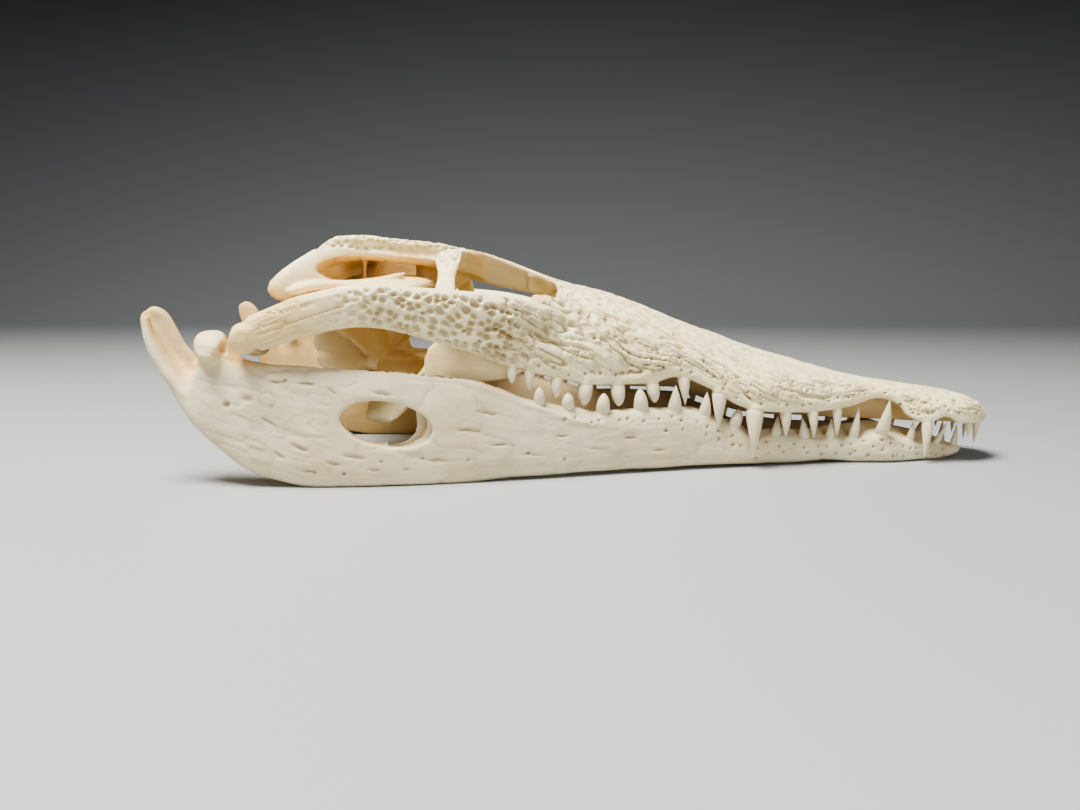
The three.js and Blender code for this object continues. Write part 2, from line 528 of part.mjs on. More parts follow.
const parts = [];
function addPart(name, solid, finish) {
  const mesh = solid.getMesh();
  const geometry = new THREE.BufferGeometry();
  geometry.setAttribute('position', new THREE.BufferAttribute(mesh.vertProperties, 3));
  geometry.setIndex(new THREE.BufferAttribute(mesh.triVerts, 1));
  const part = new THREE.Mesh(geometry, new THREE.MeshStandardMaterial(finish));
  part.name = name;
  parts.push(part);
}

const ochreParts = ['braincase', 'palate', 'quadrate_right', 'quadrate_left'];
for (const [name, region] of Object.entries(regions)) {
  addPart(name, cranium.intersect(region), ochreParts.includes(name) ? ochreBone : bone);
}
addPart('lower_jaw_right', lowerJaw(-1), bone);
addPart('lower_jaw_left', lowerJaw(1), bone);

const skull = new THREE.Group();
skull.add(...parts);
export default skull;
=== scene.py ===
"""The looks of a young crocodile's skull, jaws closed, lying on its lower jaw.

Shapes are measured in millimetres: behind the snout tip, out from the middle plane, and up
from the table. Blender holds them in metres, with +X to the snout tip.
"""
import math

import bmesh
import bpy
import numpy as np
from mathutils.kdtree import KDTree
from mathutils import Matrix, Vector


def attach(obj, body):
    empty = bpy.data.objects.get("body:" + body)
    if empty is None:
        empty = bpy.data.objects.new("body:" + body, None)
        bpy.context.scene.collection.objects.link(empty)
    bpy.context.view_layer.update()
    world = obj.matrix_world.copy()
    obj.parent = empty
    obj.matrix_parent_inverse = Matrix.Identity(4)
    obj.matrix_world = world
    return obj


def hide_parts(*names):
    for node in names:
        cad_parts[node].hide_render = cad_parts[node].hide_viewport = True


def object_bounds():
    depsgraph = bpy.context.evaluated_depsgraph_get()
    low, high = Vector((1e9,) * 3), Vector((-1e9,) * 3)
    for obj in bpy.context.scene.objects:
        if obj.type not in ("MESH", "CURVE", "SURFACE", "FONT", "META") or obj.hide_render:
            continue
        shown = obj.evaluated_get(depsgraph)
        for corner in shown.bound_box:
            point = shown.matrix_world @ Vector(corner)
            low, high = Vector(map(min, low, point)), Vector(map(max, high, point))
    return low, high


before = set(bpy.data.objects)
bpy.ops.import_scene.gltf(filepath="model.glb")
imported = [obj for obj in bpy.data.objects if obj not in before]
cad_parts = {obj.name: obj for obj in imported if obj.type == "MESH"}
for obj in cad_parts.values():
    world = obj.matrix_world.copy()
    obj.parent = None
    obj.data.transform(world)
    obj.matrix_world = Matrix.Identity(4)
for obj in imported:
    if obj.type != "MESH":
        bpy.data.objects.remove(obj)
cad_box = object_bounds()

MM = 0.001
LENGTH = 280
CRANIUM_MESH = 0.44              # width of one face on the cranium, mm
JAW_MESH = 0.56


# ---------------------------------------------------------------- camera, floor and light
def add_camera():
    bpy.ops.object.camera_add(location=(-0.0185, -0.329, 0.061), rotation=(math.radians(82.6), 0, 0))
    camera = bpy.context.object
    camera.data.sensor_width = 36
    camera.data.lens = 30.667
    camera.data.clip_start = 0.01
    bpy.context.scene.camera = camera


def add_lamp(name, location, aim, size, power, colour):
    bpy.ops.object.light_add(type="AREA", location=location)
    lamp = bpy.context.object
    lamp.name = name
    lamp.data.shape = "DISK"
    lamp.data.size = size
    lamp.data.energy = power
    lamp.data.color = colour
    away = np.subtract(location, aim)
    flat = math.hypot(away[0], away[1])
    lamp.rotation_euler = (math.atan2(flat, away[2]), 0, math.atan2(away[0], -away[1]))


add_camera()
bpy.context.scene.view_settings.look = "AgX - Medium High Contrast"
add_lamp("top_softbox", (-0.28, -0.22, 0.85), (0, 0, 0.03), 0.42, 23, (1, 0.97, 0.91))
add_lamp("front_softbox", (0.35, -1.2, 0.4), (0, 0, 0.04), 0.7, 5, (1, 0.98, 0.96))


# ---------------------------------------------------------------- curves and rings
def through(*knots):
    """A smooth curve through (where, value) knots that never overshoots them."""
    where, value = np.array(knots, float).T
    rise = np.diff(value) / np.diff(where)
    before, after = rise[:-1], rise[1:]
    turns = before * after <= 0
    middle = np.where(turns, 0, 2 * before * after / np.where(turns, 1, before + after))
    slope = np.concatenate((rise[:1], middle, rise[-1:]))

    def curve(x):
        x = np.clip(x, where[0], where[-1])
        i = np.clip(np.searchsorted(where, x, side="right") - 1, 0, len(rise) - 1)
        span = where[i + 1] - where[i]
        t = (x - where[i]) / span
        u = 1 - t
        return (value[i] * u * u * (1 + 2 * t) + value[i + 1] * t * t * (3 - 2 * t)
                + slope[i] * span * t * u * u - slope[i + 1] * span * t * t * u)
    return curve


def smooth(low, high, x):
    """From 0 at low to 1 at high, with soft ends."""
    t = np.clip((x - low) / (high - low), 0, 1)
    return t * t * (3 - 2 * t)


def between(low, high, soft, x):
    return smooth(low - soft, low + soft, x) * (1 - smooth(high - soft, high + soft, x))


def powered(value, power):
    return np.sign(value) * np.abs(value) ** power


def unit(vectors):
    return vectors / np.linalg.norm(vectors, axis=-1, keepdims=True)


def placed(points):
    """Skull places in millimetres to Blender's metres."""
    points = np.array(points, float)
    points[..., 0] = LENGTH / 2 - points[..., 0]
    return points * MM


def round_angles(count):
    return (np.arange(count) + 0.5) / count * 2 * math.pi


def limb(side, stations, up=(0, 0, 1), squareness=2.4, sides=24, steps=4, roll=0.0):
    """Rings of a bar, plate or cut-out recess along [behind, out, up, half across, half tall] places.

    A squareness of 2 is an ellipse, and more is boxier.
    """
    table = np.array(stations, float)
    centres = table[:, :3] * (-1, 1, 1)
    count = len(table)
    t = np.linspace(0, count - 1, (count - 1) * steps + 1)
    whole = np.minimum(t.astype(int), count - 2)
    part = (t - whole)[:, None]
    padded = np.vstack((2 * centres[0] - centres[1], centres, 2 * centres[-1] - centres[-2]))
    a, b, c, d = (padded[whole + k] for k in range(4))
    cubic, square, line = d - a + 3 * (b - c), 2 * a - 5 * b + 4 * c - d, c - a
    centre = b + (cubic * part ** 3 + square * part ** 2 + line * part) / 2
    along = unit(3 * cubic * part ** 2 + 2 * square * part + line)
    across = unit(np.cross(up, along))
    tall = np.cross(along, across)
    across, tall = (across * math.cos(roll) + tall * math.sin(roll),
                    tall * math.cos(roll) - across * math.sin(roll))
    half_across, half_tall = (through(*enumerate(table[:, k]))(t)[:, None, None] for k in (3, 4))
    angle = round_angles(sides)
    wide = powered(np.cos(angle), 2 / squareness)[None, :, None]
    high = powered(np.sin(angle), 2 / squareness)[None, :, None]
    rings = (centre[:, None] + across[:, None] * half_across * wide
             + tall[:, None] * half_tall * high)
    return placed(rings * (-1, side, 1))


def closed_ring(half_section, count):
    """A ring of evenly spaced points from one half of a section, middle bottom to middle top."""
    half = np.array(half_section, float)
    full = np.vstack((half, half[-2:0:-1] * (-1, 1), half[:1]))
    length = np.concatenate(([0], np.cumsum(np.linalg.norm(np.diff(full, axis=0), axis=1))))
    where = np.linspace(0, length[-1], count, endpoint=False)
    return np.column_stack([np.interp(where, length, full[:, k]) for k in (0, 1)])


def block(section, stations, count=64):
    """Rings of a part that is the same on both sides of the middle plane."""
    rings = []
    for behind in stations:
        ring = closed_ring(section(behind), count)
        rings.append(np.column_stack((np.full(count, behind), ring)))
    return placed(rings)


def prism(outline, low, high):
    """Rings of a side-view outline of (behind, up) points, from one y to another."""
    outline = np.array(outline, float)
    return placed([np.column_stack((outline[:, 0], np.full(len(outline), y), outline[:, 1]))
                   for y in (low, high)])


def plan(outline, low, high):
    """Rings of a plan-view outline of (behind, out) points, from one height to another."""
    outline = np.array(outline, float)
    return placed([np.column_stack((outline, np.full(len(outline), z))) for z in (low, high)])


# ---------------------------------------------------------------- modelling by hand
def deselect():
    bpy.ops.object.select_all(action="DESELECT")


def activate(piece):
    deselect()
    piece.select_set(True)
    bpy.context.view_layer.objects.active = piece


def solid(rings):
    """A closed solid: a filled circle laid on the first ring, then extruded from ring to ring."""
    deselect()
    bpy.ops.mesh.primitive_circle_add(vertices=len(rings[0]), fill_type="NGON")
    piece = bpy.context.object
    bpy.ops.object.mode_set(mode="EDIT")
    for step, ring in enumerate(rings):
        if step:
            bpy.ops.mesh.extrude_region_move()
        form = bmesh.from_edit_mesh(piece.data)
        chosen = [vert for vert in form.verts if vert.select]
        for vert, place in zip(chosen, ring):
            vert.co = place
    bmesh.update_edit_mesh(piece.data)
    bpy.ops.mesh.select_all(action="SELECT")
    bpy.ops.mesh.normals_make_consistent(inside=False)
    bpy.ops.object.mode_set(mode="OBJECT")
    return piece


def solids(ring_sets):
    return [solid(rings) for rings in ring_sets]


def both(build):
    """The rings that build gives for the animal's right and left."""
    return [build(-1), build(1)]


def joined(pieces, name=None):
    activate(pieces[0])
    for piece in pieces:
        piece.select_set(True)
    bpy.ops.object.join()
    whole = bpy.context.object
    if name:
        whole.name = name
        whole.data.name = name
    return whole


def apply_modifier(piece, kind, **settings):
    activate(piece)
    modifier = piece.modifiers.new(kind.title(), kind)
    for key, value in settings.items():
        setattr(modifier, key, value)
    bpy.ops.object.modifier_apply(modifier=modifier.name)


def remove(piece):
    bpy.data.objects.remove(piece)


def combine(piece, operation, other):
    apply_modifier(piece, "BOOLEAN", operation=operation, solver="MANIFOLD", object=other)


def carve(piece, *ring_sets):
    """Cuts each closed form out of the piece."""
    for cutter in solids(ring_sets):
        combine(piece, "DIFFERENCE", cutter)
        remove(cutter)
    return piece


def fuse(pieces, width, rounds):
    """One skin over all the pieces, with its corners and joins rounded."""
    whole = joined(pieces)
    apply_modifier(whole, "REMESH", mode="VOXEL", voxel_size=width * MM)
    apply_modifier(whole, "SMOOTH", factor=0.5, iterations=rounds)
    return whole


# ---------------------------------------------------------------- repeatable surface patterns
def hashed(i, j, seed):
    """A repeatable number from 0 to 1 for each whole-numbered cell."""
    mixed = (i * 374761393 + j * 668265263 + seed * 1442695041) & 0xFFFFFFFF
    mixed = ((mixed ^ (mixed >> 13)) * 1274126177) & 0xFFFFFFFF
    return ((mixed ^ (mixed >> 16)) & 0xFFFF) / 0xFFFF


def noise(u, v, seed):
    """Soft lumps one unit wide, from -1 to 1."""
    i, j = np.floor(u).astype(np.int64), np.floor(v).astype(np.int64)
    a, b = smooth(0, 1, u - i), smooth(0, 1, v - j)
    low = hashed(i, j, seed) * (1 - a) + hashed(i + 1, j, seed) * a
    high = hashed(i, j + 1, seed) * (1 - a) + hashed(i + 1, j + 1, seed) * a
    return (low * (1 - b) + high * b) * 2 - 1


def round_pits(u, v, seed, jitter=0.6):
    """1 in the floor of uneven round pits and 0 on the walls between them."""
    i, j = np.floor(u).astype(np.int64), np.floor(v).astype(np.int64)
    first, second = np.full(u.shape, 9.0), np.full(u.shape, 9.0)
    size = np.ones(u.shape)
    for di in (-2, -1, 0, 1):
        for dj in (-1, 0, 1):
            ci, cj = i + di, j + dj
            cu = ci + 0.5 + (cj % 2) * 0.5 + (hashed(ci, cj, seed) - 0.5) * jitter
            cv = cj + 0.5 + (hashed(ci, cj, seed + 7) - 0.5) * jitter
            away = np.hypot(u - cu, v - cv)
            size = np.where(away < first, 0.4 + 0.28 * hashed(ci, cj, seed + 11), size)
            second = np.minimum(second, np.maximum(first, away))
            first = np.minimum(first, away)
    return (1 - smooth(0.2, 1.05, first / size)) * smooth(0.0, 0.24, second - first)


def grooves(u, v, seed, sharpness=5):
    """1 along thin, broken, winding lines that run with u, and 0 between them."""
    line = (1 - np.abs(noise(u, v, seed))) ** sharpness
    second = (1 - np.abs(noise(u * 1.7 + 31, v * 1.9 + 17, seed + 3))) ** sharpness
    kept = smooth(-0.35, 0.35, noise(u * 0.8, v * 0.5, seed + 5))
    return np.clip(line * kept + 0.6 * second * (1 - kept), 0, 1)


def holes(behind, up, spots, radius):
    """1 in small holes at the given (behind, up) places."""
    depth = np.zeros_like(behind)
    for at, height, size in spots:
        near = np.hypot(behind - at, (up - height) * 1.1) / (radius * size)
        depth = np.maximum(depth, 1 - smooth(0.35, 1.15, near))
    return depth


def row_of_spots(start, end, gap, height, seed, lift=0.0, spread=0.8):
    """Unevenly spaced spots along a line of the jaw."""
    spots = []
    at = start
    k = 0
    while at < end:
        jitter = hashed(np.int64(k), np.int64(seed), seed) - 0.5
        drop = hashed(np.int64(k), np.int64(seed + 1), seed) - 0.5
        size = 0.8 + 0.5 * hashed(np.int64(k), np.int64(seed + 2), seed)
        spots.append((at + jitter * gap * 0.6, height(at) + lift + drop * 2 * spread, size))
        at += gap
        k += 1
    return spots


# ---------------------------------------------------------------- snout
crown = through((0, 17.6), (1.5, 19.4), (4, 21), (8, 22.8), (14, 24.6), (22, 25.4), (36, 27.4),
                (51, 30.2), (65, 34.2), (80, 38.5), (94, 43.5), (109, 48.8), (123, 54.5), (137, 59.4),
                (150, 62.6), (165, 67.4))
snout_half = through((0, 4), (1.5, 8), (4, 11.5), (8, 14.4), (14, 16.8), (20, 17.6), (26, 17.4),
                     (32, 15.8), (38, 14), (44, 14.4), (52, 17), (60, 20), (70, 23.4), (80, 27),
                     (87, 28.6), (95, 27.8), (105, 27.4), (115, 29), (125, 31.4), (135, 34),
                     (145, 37.2), (155, 40.7), (165, 44))
margin = through((0, 14.2), (8, 13.6), (14.6, 13.8), (18.9, 16.6), (25, 13.9), (31.6, 16), (36, 20.8),
                 (41.6, 22.3), (51, 19.9), (66, 18.4), (82, 19.2), (91, 20.7), (102, 26.9), (114, 31),
                 (122, 29), (139, 29), (153, 31.5), (165, 34.6))
widest = through((0, 16), (20, 18.4), (40, 24.4), (60, 23), (88, 24.5), (110, 35), (135, 37), (165, 42))


# height of the vault of the palate in the middle plane
palate_vault = through((0, 13), (30, 13.6), (50, 14.4), (66, 15.6), (80, 16.4), (90, 17.8), (102, 22),
                       (114, 26), (139, 26.4), (153, 29.5), (165, 33))


def snout_section(behind):
    half, edge, wide, top = (f(behind) for f in (snout_half, margin, widest, crown))
    vault = min(palate_vault(behind), edge - 0.4)
    palate = [(0, vault), (half * 0.42, vault + 0.2), (half * 0.64, edge - 0.1), (half * 0.74, edge + 0.4),
              (half * 0.88, edge), (half * 0.94, edge), (half * 0.98, edge + 0.8)]
    arch = [(half * math.cos(a) ** 0.9, wide + (top - wide) * math.sin(a) ** 0.95)
            for a in np.linspace(0, math.pi / 2, 22)]
    return palate + arch


def snout_rings():
    tip = [0, 0.5, 1.5, 3, 5, 7.5, 10]
    return block(snout_section, tip + list(np.arange(12.5, 162, 2.5)) + [162.6], 96)


def nostril():
    return limb(1, [[13.5, 0, 17, 3.4, 3.4], [13.5, 0, 21, 5.2, 5.6], [13.5, 0, 25, 6.2, 6.8],
                    [13.5, 0, 34, 7.4, 8]], up=(1, 0, 0))


UPPER_TEETH = [
    # behind, out and height of the neck; behind and height of the tip; width at the neck
    [2.6, 3.4, 14.6, 3.4, 5.2, 2.6], [4.8, 8.6, 14.4, 5.4, 7, 2.6], [9.4, 12.6, 14, 9.8, 8.6, 2.5],
    [25.2, 16, 14.2, 26, 2.2, 3.9], [57, 17.2, 18.9, 56.8, 9.8, 3.4], [66.2, 20.4, 18.5, 65.6, 9.8, 3.7],
    [76.2, 23.4, 18.6, 76, 10.7, 4.1], [87.2, 26.2, 19.9, 87.4, 5.6, 6], [99, 25.7, 25.6, 99.2, 13.7, 5],
    [111, 26, 30.6, 110.4, 21.8, 4.2], [121.7, 28.4, 29, 120.8, 22.8, 4.5],
    [133.3, 31.2, 28.6, 132.8, 22, 4.8], [143.9, 34.6, 29.2, 144.3, 22.5, 4.9],
    [153.2, 37.6, 31.5, 153.4, 25.4, 3.9], [161.8, 40.3, 33.6, 161.8, 28.2, 3.2],
    [167.3, 42, 35.2, 167.3, 30.6, 3],
]
UPPER_LEAN = 0.6


def collar(side, row):
    """The swelling of bone round the neck of a tooth."""
    behind, out, neck, _, tip, width = row
    way = math.copysign(1, tip - neck)
    return limb(side, [[behind, out - 0.6, neck - way * 3, width * 0.36, width * 0.36],
                       [behind, out - 0.3, neck - way * 1.4, width * 0.46, width * 0.46],
                       [behind, out - 0.2, neck, width * 0.44, width * 0.44],
                       [behind, out - 0.2, neck + way * 0.3, width * 0.36, width * 0.36]],
                up=(1, 0, 0), squareness=2, sides=14, steps=2)


# ---------------------------------------------------------------- eye sockets and cheek bars
brow_rim = through((150, 60), (156, 64.2), (165, 68), (178, 72.6), (191, 74.9))
brow_under = through((150, 53), (157, 57), (177, 61.5), (192, 66))
brow_half = through((150, 9), (156, 13), (163, 9.8), (172, 8.8), (179, 10.4), (185, 16), (190, 23))


def brow_section(behind):
    half, rim, under = (f(behind) for f in (brow_half, brow_rim, brow_under))
    return [(0, under), (half * 0.45, under + 0.8), (half * 0.72, (rim + under) / 2), (half * 0.9, rim - 2.6),
            (half, rim - 1.2), (half * 0.94, rim), (half * 0.6, rim - 0.9), (0, rim - 1.6)]


def brow_rings():
    return block(brow_section, np.arange(150, 190.5, 2), 48)


def socket_hollow(side):
    return limb(side, [[152.2, 28, 59.4, 2, 4.4], [154, 26.2, 60.6, 7.4, 8.8], [157.6, 24.6, 62, 12.6, 15.6],
                       [162, 24.6, 62, 15, 20], [168, 24.6, 62, 16, 22]], squareness=2.8)


def brow_undercut(side):
    return limb(side, [[153.4, 15, 57, 2, 2.5], [156, 13.6, 57.8, 4.6, 4.4], [159, 12.4, 58.6, 5.2, 5],
                       [168, 12, 59, 5.2, 5.4]], squareness=2.6)


def nasal_hollow():
    return limb(1, [[150.5, 0, 47, 10, 4], [154, 0, 48.4, 24, 8], [158, 0, 48.6, 27, 9.6],
                    [168, 0, 49, 33, 11]], squareness=4)


def palate_opening(side):
    return limb(side, [[119, 15.5, 30, 2, 8], [126, 16.4, 31, 4.6, 9], [138, 18.2, 33, 7, 11],
                       [152, 20.6, 34, 11, 13], [172, 22.4, 36, 14.4, 16]], squareness=3)


def cheek_bar(side):
    return limb(side, [[150, 31, 43, 3, 7], [158, 35.6, 44.6, 4.4, 10.2], [166, 40.2, 46.2, 4.2, 10.8],
                       [175, 44, 49, 3.8, 9.8], [185, 47.2, 51, 3.5, 8.8], [195, 50.2, 53, 3.3, 7.5],
                       [205, 53, 54.6, 3.2, 6.6], [215, 55.6, 54.6, 3.1, 6.1], [225, 57.2, 52.9, 3.2, 6.1],
                       [234, 57.2, 50, 3.6, 5.9], [243, 55.4, 46.8, 4, 5.4]], squareness=3, roll=0.16)


def postorbital_bar(side):
    return limb(side, [[188, 46, 54, 4.4, 2.4], [188, 41, 59, 3.4, 1.8], [188, 35.4, 63.6, 2.9, 1.5],
                       [188, 30, 68, 4, 1.6], [188.6, 23, 71.2, 5, 1.6]], up=(0, 1, 0), squareness=2.6)


def ectopterygoid(side):
    return limb(side, [[162, 36.4, 39, 2, 4.4], [171, 36.6, 38.4, 1.6, 7.2], [180, 36.8, 38, 1.5, 7.8],
                       [187.6, 36.8, 37.4, 1.4, 7.4], [192, 36.8, 32, 1.3, 5], [199, 37, 27, 1.4, 3.8],
                       [207, 37.6, 24, 1.5, 3.4]], squareness=3.4)


# ---------------------------------------------------------------- skull table
table_half = through((178, 9), (181, 13), (184, 18), (187, 22.6), (190, 25.4), (204, 27.4), (219, 29.6),
                     (227, 30.6), (231, 29.6), (233.4, 26))
table_rim = through((178, 71), (181, 72.4), (183, 73), (191, 74.9), (204, 76.3), (216, 77.4), (224, 76.8),
                    (228, 74.8), (231, 72.2), (233.4, 69.8))


def table_section(behind):
    half, rim = table_half(behind), table_rim(behind)
    return [(0, rim - 8), (half * 0.84, rim - 8.2), (half * 0.97, rim - 7), (half * 0.99, rim - 5.8),
            (half * 0.93, rim - 4.2), (half * 0.97, rim - 2.6), (half, rim - 1.2), (half * 0.95, rim - 0.1),
            (half * 0.8, rim - 0.5), (half * 0.4, rim - 1.7), (half * 0.12, rim - 0.9), (0, rim - 1)]


def table_rings():
    return block(table_section, [178, 180, 182, 184, 186, *range(188, 229, 3), 229.5, 231, 232.4, 233.4], 96)


def temporal_opening(side):
    return limb(side, [[207.5, 12.5, 60, 6, 8.5], [207.5, 12.5, 70, 5.4, 7.6], [207.5, 12.6, 75, 6.6, 8.8],
                       [207.5, 12.6, 84, 9.4, 11]], up=(1, 0, 0))


def squamosal_prong(side):
    return limb(side, [[214, 24.6, 71.4, 1.4, 3], [220, 27.4, 70, 2.4, 5.2], [226, 29.8, 68, 2.8, 6.2],
                       [233, 33, 64.8, 2.7, 5.4], [239, 36.2, 61.2, 2.4, 4], [242.2, 37.8, 59, 1.8, 2.7],
                       [243.4, 38.4, 58.2, 0.8, 1.2]], squareness=2.2)


def ear_block(side):
    return limb(side, [[220, 12, 68.4, 6, 4], [228, 18, 67, 10, 4.8], [234.6, 25.4, 63.6, 10, 5.2],
                       [241.6, 35.4, 59.4, 4, 3.6]], squareness=2.8)


def ear_opening(side):
    return limb(side, [[212.6, 40, 66.6, 18, 5.2], [213, 25, 66, 15, 4.4], [214, 15.4, 65.4, 7, 2.6]],
                squareness=2.2)


def ear_sill(side):
    return limb(side, [[238, 38.2, 58.8, 0.8, 0.8], [234, 36.8, 60, 2.3, 1.8], [229, 34.6, 61, 2.4, 1.7],
                       [219, 33, 61.4, 2.4, 1.5], [210, 32.4, 62.6, 2, 1.2], [204, 31, 64.2, 1.3, 0.8],
                       [201.6, 30, 64.8, 0.5, 0.4]],
                squareness=2)


def ear_strut(side):
    return limb(side, [[217, 19.6, 62, 0.8, 1.6], [216.6, 20.4, 66, 0.6, 1], [216.4, 20.8, 70, 1, 1.8]],
                up=(0, 1, 0), sides=12)


# ---------------------------------------------------------------- braincase and quadrates
def braincase_rings():
    return limb(1, [[184, 0, 66, 8, 3], [191, 0, 65, 15, 6.6], [198, 0, 63, 16.6, 9.6],
                    [203, 0, 61, 13, 11.6], [210, 0, 58, 11.4, 15], [219, 0, 54, 12, 19],
                    [227, 0, 53, 13, 19.6],
                    [234, 0, 55, 12, 16]], squareness=2.8, sides=32)


def occipital_condyle():
    return limb(1, [[230, 0, 50.4, 6, 5], [237, 0, 49.8, 4, 3.8], [240, 0, 49.2, 4.6, 4.2],
                    [243.4, 0, 48.4, 4, 3.6], [245, 0, 48, 1.6, 1.4]], squareness=2)


def spinal_opening():
    return limb(1, [[226, 0, 58.6, 3, 2.6], [233, 0, 58.8, 3.8, 3.2], [242, 0, 59.4, 4.6, 3.8]],
                squareness=2)


def basal_plate():
    return limb(1, [[206, 0, 42, 4, 6], [216, 0, 37.5, 8, 5], [224, 0, 35, 11, 6.4],
                    [231, 0, 37.4, 10.4, 6.4], [234, 0, 40, 8.6, 6]], squareness=2.8)


def quadrate_body(side):
    return limb(side, [[247, 51.4, 45.6, 9.4, 4.4], [239, 50, 49.4, 9.2, 4.8], [230, 46.8, 52.6, 11, 4.3],
                       [220, 39, 56, 13.6, 3.9], [210, 27.6, 59.4, 14, 3.8], [203, 15, 61, 12, 3.6]],
                squareness=2.6)


def quadrate_condyle(side):
    return limb(side, [[245.4, 40.8, 43.6, 1.6, 2], [245.4, 42.6, 43.4, 3.6, 4.2],
                       [246.6, 46, 43.8, 3.9, 4.4], [246.8, 51, 44.6, 3.8, 4.2],
                       [246.4, 56.4, 45.4, 4.3, 4.8], [245.8, 60, 45.8, 3, 3.6],
                       [245.6, 61, 45.8, 1.4, 1.8]], squareness=2)


def quadrate_root(side):
    return limb(side, [[226, 30, 55, 3, 6], [219, 20, 49, 2.6, 7], [214, 11, 43, 2.4, 7.4],
                       [211, 3, 40, 2.4, 7]], squareness=2.8)


# ---------------------------------------------------------------- palate
def palatine_bar():
    return limb(1, [[146, 0, 36, 10, 3.6], [162, 0, 36.4, 9, 3.4], [174, 0, 36.2, 7, 2.8],
                    [186, 0, 36, 9, 2.6], [196, 0, 35.4, 13, 2.8], [207, 0, 34.8, 14, 3.4],
                    [218, 0, 36, 11, 4.2]], squareness=2.8)


def pterygoid_wing(side):
    return limb(side, [[204, 6, 35, 12, 1.9], [202, 16, 33.2, 11.6, 1.7], [202.6, 27, 29.4, 10, 1.5],
                       [206, 35.6, 24.4, 8.6, 1.6], [208.4, 40, 20.6, 6.6, 1.8], [209.4, 42, 19, 4.6, 1.2]],
                squareness=2.6)


def choana():
    return limb(1, [[209, 0, 26, 4, 4.6], [206, 0, 35, 2, 2.4]], up=(1, 0, 0), squareness=2)


# ---------------------------------------------------------------- cranium, whole
def build_cranium():
    snout = carve(solid(snout_rings()), *both(socket_hollow), *both(brow_undercut), nasal_hollow(),
                  *both(palate_opening), nostril())
    table = carve(solid(table_rings()), *both(temporal_opening))
    brain = carve(solid(braincase_rings()), *both(temporal_opening), spinal_opening())
    ears = [carve(piece, *both(ear_opening)) for piece in solids(both(ear_block) + both(squamosal_prong))]
    palate = carve(solid(palatine_bar()), choana())
    plain = solids([
        brow_rings(), occipital_condyle(), basal_plate(),
        *both(cheek_bar), *both(postorbital_bar), *both(ectopterygoid), *both(ear_sill),
        *both(ear_strut), *both(quadrate_body), *both(quadrate_condyle), *both(quadrate_root),
        *both(pterygoid_wing),
        *[collar(side, row) for row in UPPER_TEETH for side in (-1, 1)],
    ])
    return fuse([snout, table, brain, *ears, palate, *plain], CRANIUM_MESH, 8)


# ---------------------------------------------------------------- lower jaw
jaw_out = through((7.4, 3), (9, 6), (13, 8.4), (18, 10), (25, 12.2), (32, 14.4), (40, 16.2), (50, 15.8),
                  (58, 16.8), (70, 19.4), (80, 21.6), (87, 23.2), (95, 25.2), (110, 29), (125, 33.2),
                  (140, 38), (155, 42.6), (170, 47), (185, 51), (200, 54.2), (215, 56.2), (230, 57),
                  (245, 56.6), (256, 55), (264, 52.6), (272, 50.6), (280, 49.4))
jaw_in = through((7.4, 0), (52, 0), (56, 3.4), (62, 7.4), (70, 10.8), (80, 13.8), (95, 17.6), (110, 21),
                 (125, 24.8), (140, 29), (155, 33.4), (170, 37.6), (185, 41), (200, 43.4), (215, 44.8),
                 (230, 44.4), (245, 42.6), (256, 42.4), (264, 42), (272, 41.6), (280, 42.6))
jaw_top = through((7.4, 3.8), (12, 4.6), (26, 7.2), (34, 9), (40.5, 10.8), (50, 9.1), (69, 9.7), (79, 11),
                  (86, 9.7), (91, 14), (98, 15.6), (109, 20.2), (126, 20.7), (138, 20.4), (147, 22.2),
                  (162, 25.3), (171, 29), (180, 32.6), (201, 35.4), (216, 36.6), (231, 36.8), (240, 37.4),
                  (247, 38.4), (250, 39.6))
jaw_bottom = through((7.4, 3), (10, 1.6), (15, 0.5), (20, -0.3), (48, -0.3), (60, 0.6), (100, 0.9),
                     (150, 0.9), (180, 0), (194, -0.9), (226, -0.9), (236, 0.8), (244, 2.8), (249.4, 5.4),
                     (255, 9.6), (260.5, 14.2), (265.8, 20), (269.6, 25.8), (272.6, 30.6), (275.4, 35.8),
                     (277.8, 41.6), (280, 50))
rear_inner_top = through((249, 39), (251, 41.6), (254, 44.8), (257.5, 45.2), (260.5, 43), (262, 39.6),
                         (264.6, 39.2), (267.3, 42.4), (269.8, 47.4), (271.6, 51.4), (274, 54.2),
                         (277, 55.2), (280, 53.8))
rear_outer_top = through((249, 38.6), (250.8, 40.8), (253, 44.6), (255.5, 46), (258, 45.8), (260.6, 43),
                         (262.6, 37), (265.6, 31.8), (267, 31.8), (270, 35.4), (273.4, 41.6),
                         (276.2, 47.8), (278.4, 52.6), (280, 53))


# how far the inner edge of the tooth row stands above the outer one
inner_rise = through((10, 0), (18, 3.8), (30, 4.8), (52, 5), (66, 3.6), (84, 2.8), (104, 2.2), (118, 1),
                     (150, 0.4), (164, 0))


def jaw_ring(side, behind, count=48):
    inner = max(jaw_in(behind), 0.05)
    outer = jaw_out(behind)
    bottom = jaw_bottom(behind)
    angle = round_angles(count)
    across = powered(np.cos(angle), 0.62)
    upward = powered(np.sin(angle), 0.62)
    share = (across + 1) / 2
    slanted = rear_inner_top(behind) * (1 - share) + rear_outer_top(behind) * share
    rear = smooth(247, 252, behind)
    lingual = inner_rise(behind) * (1 - share) ** 2
    top = jaw_top(behind) * (1 - rear) + slanted * rear + lingual
    up = np.maximum((top + bottom) / 2 + (top - bottom) / 2 * upward, 0.02)
    out = (inner + outer) / 2 + (outer - inner) / 2 * across
    return placed(np.column_stack((np.full(count, behind), side * out, up)))


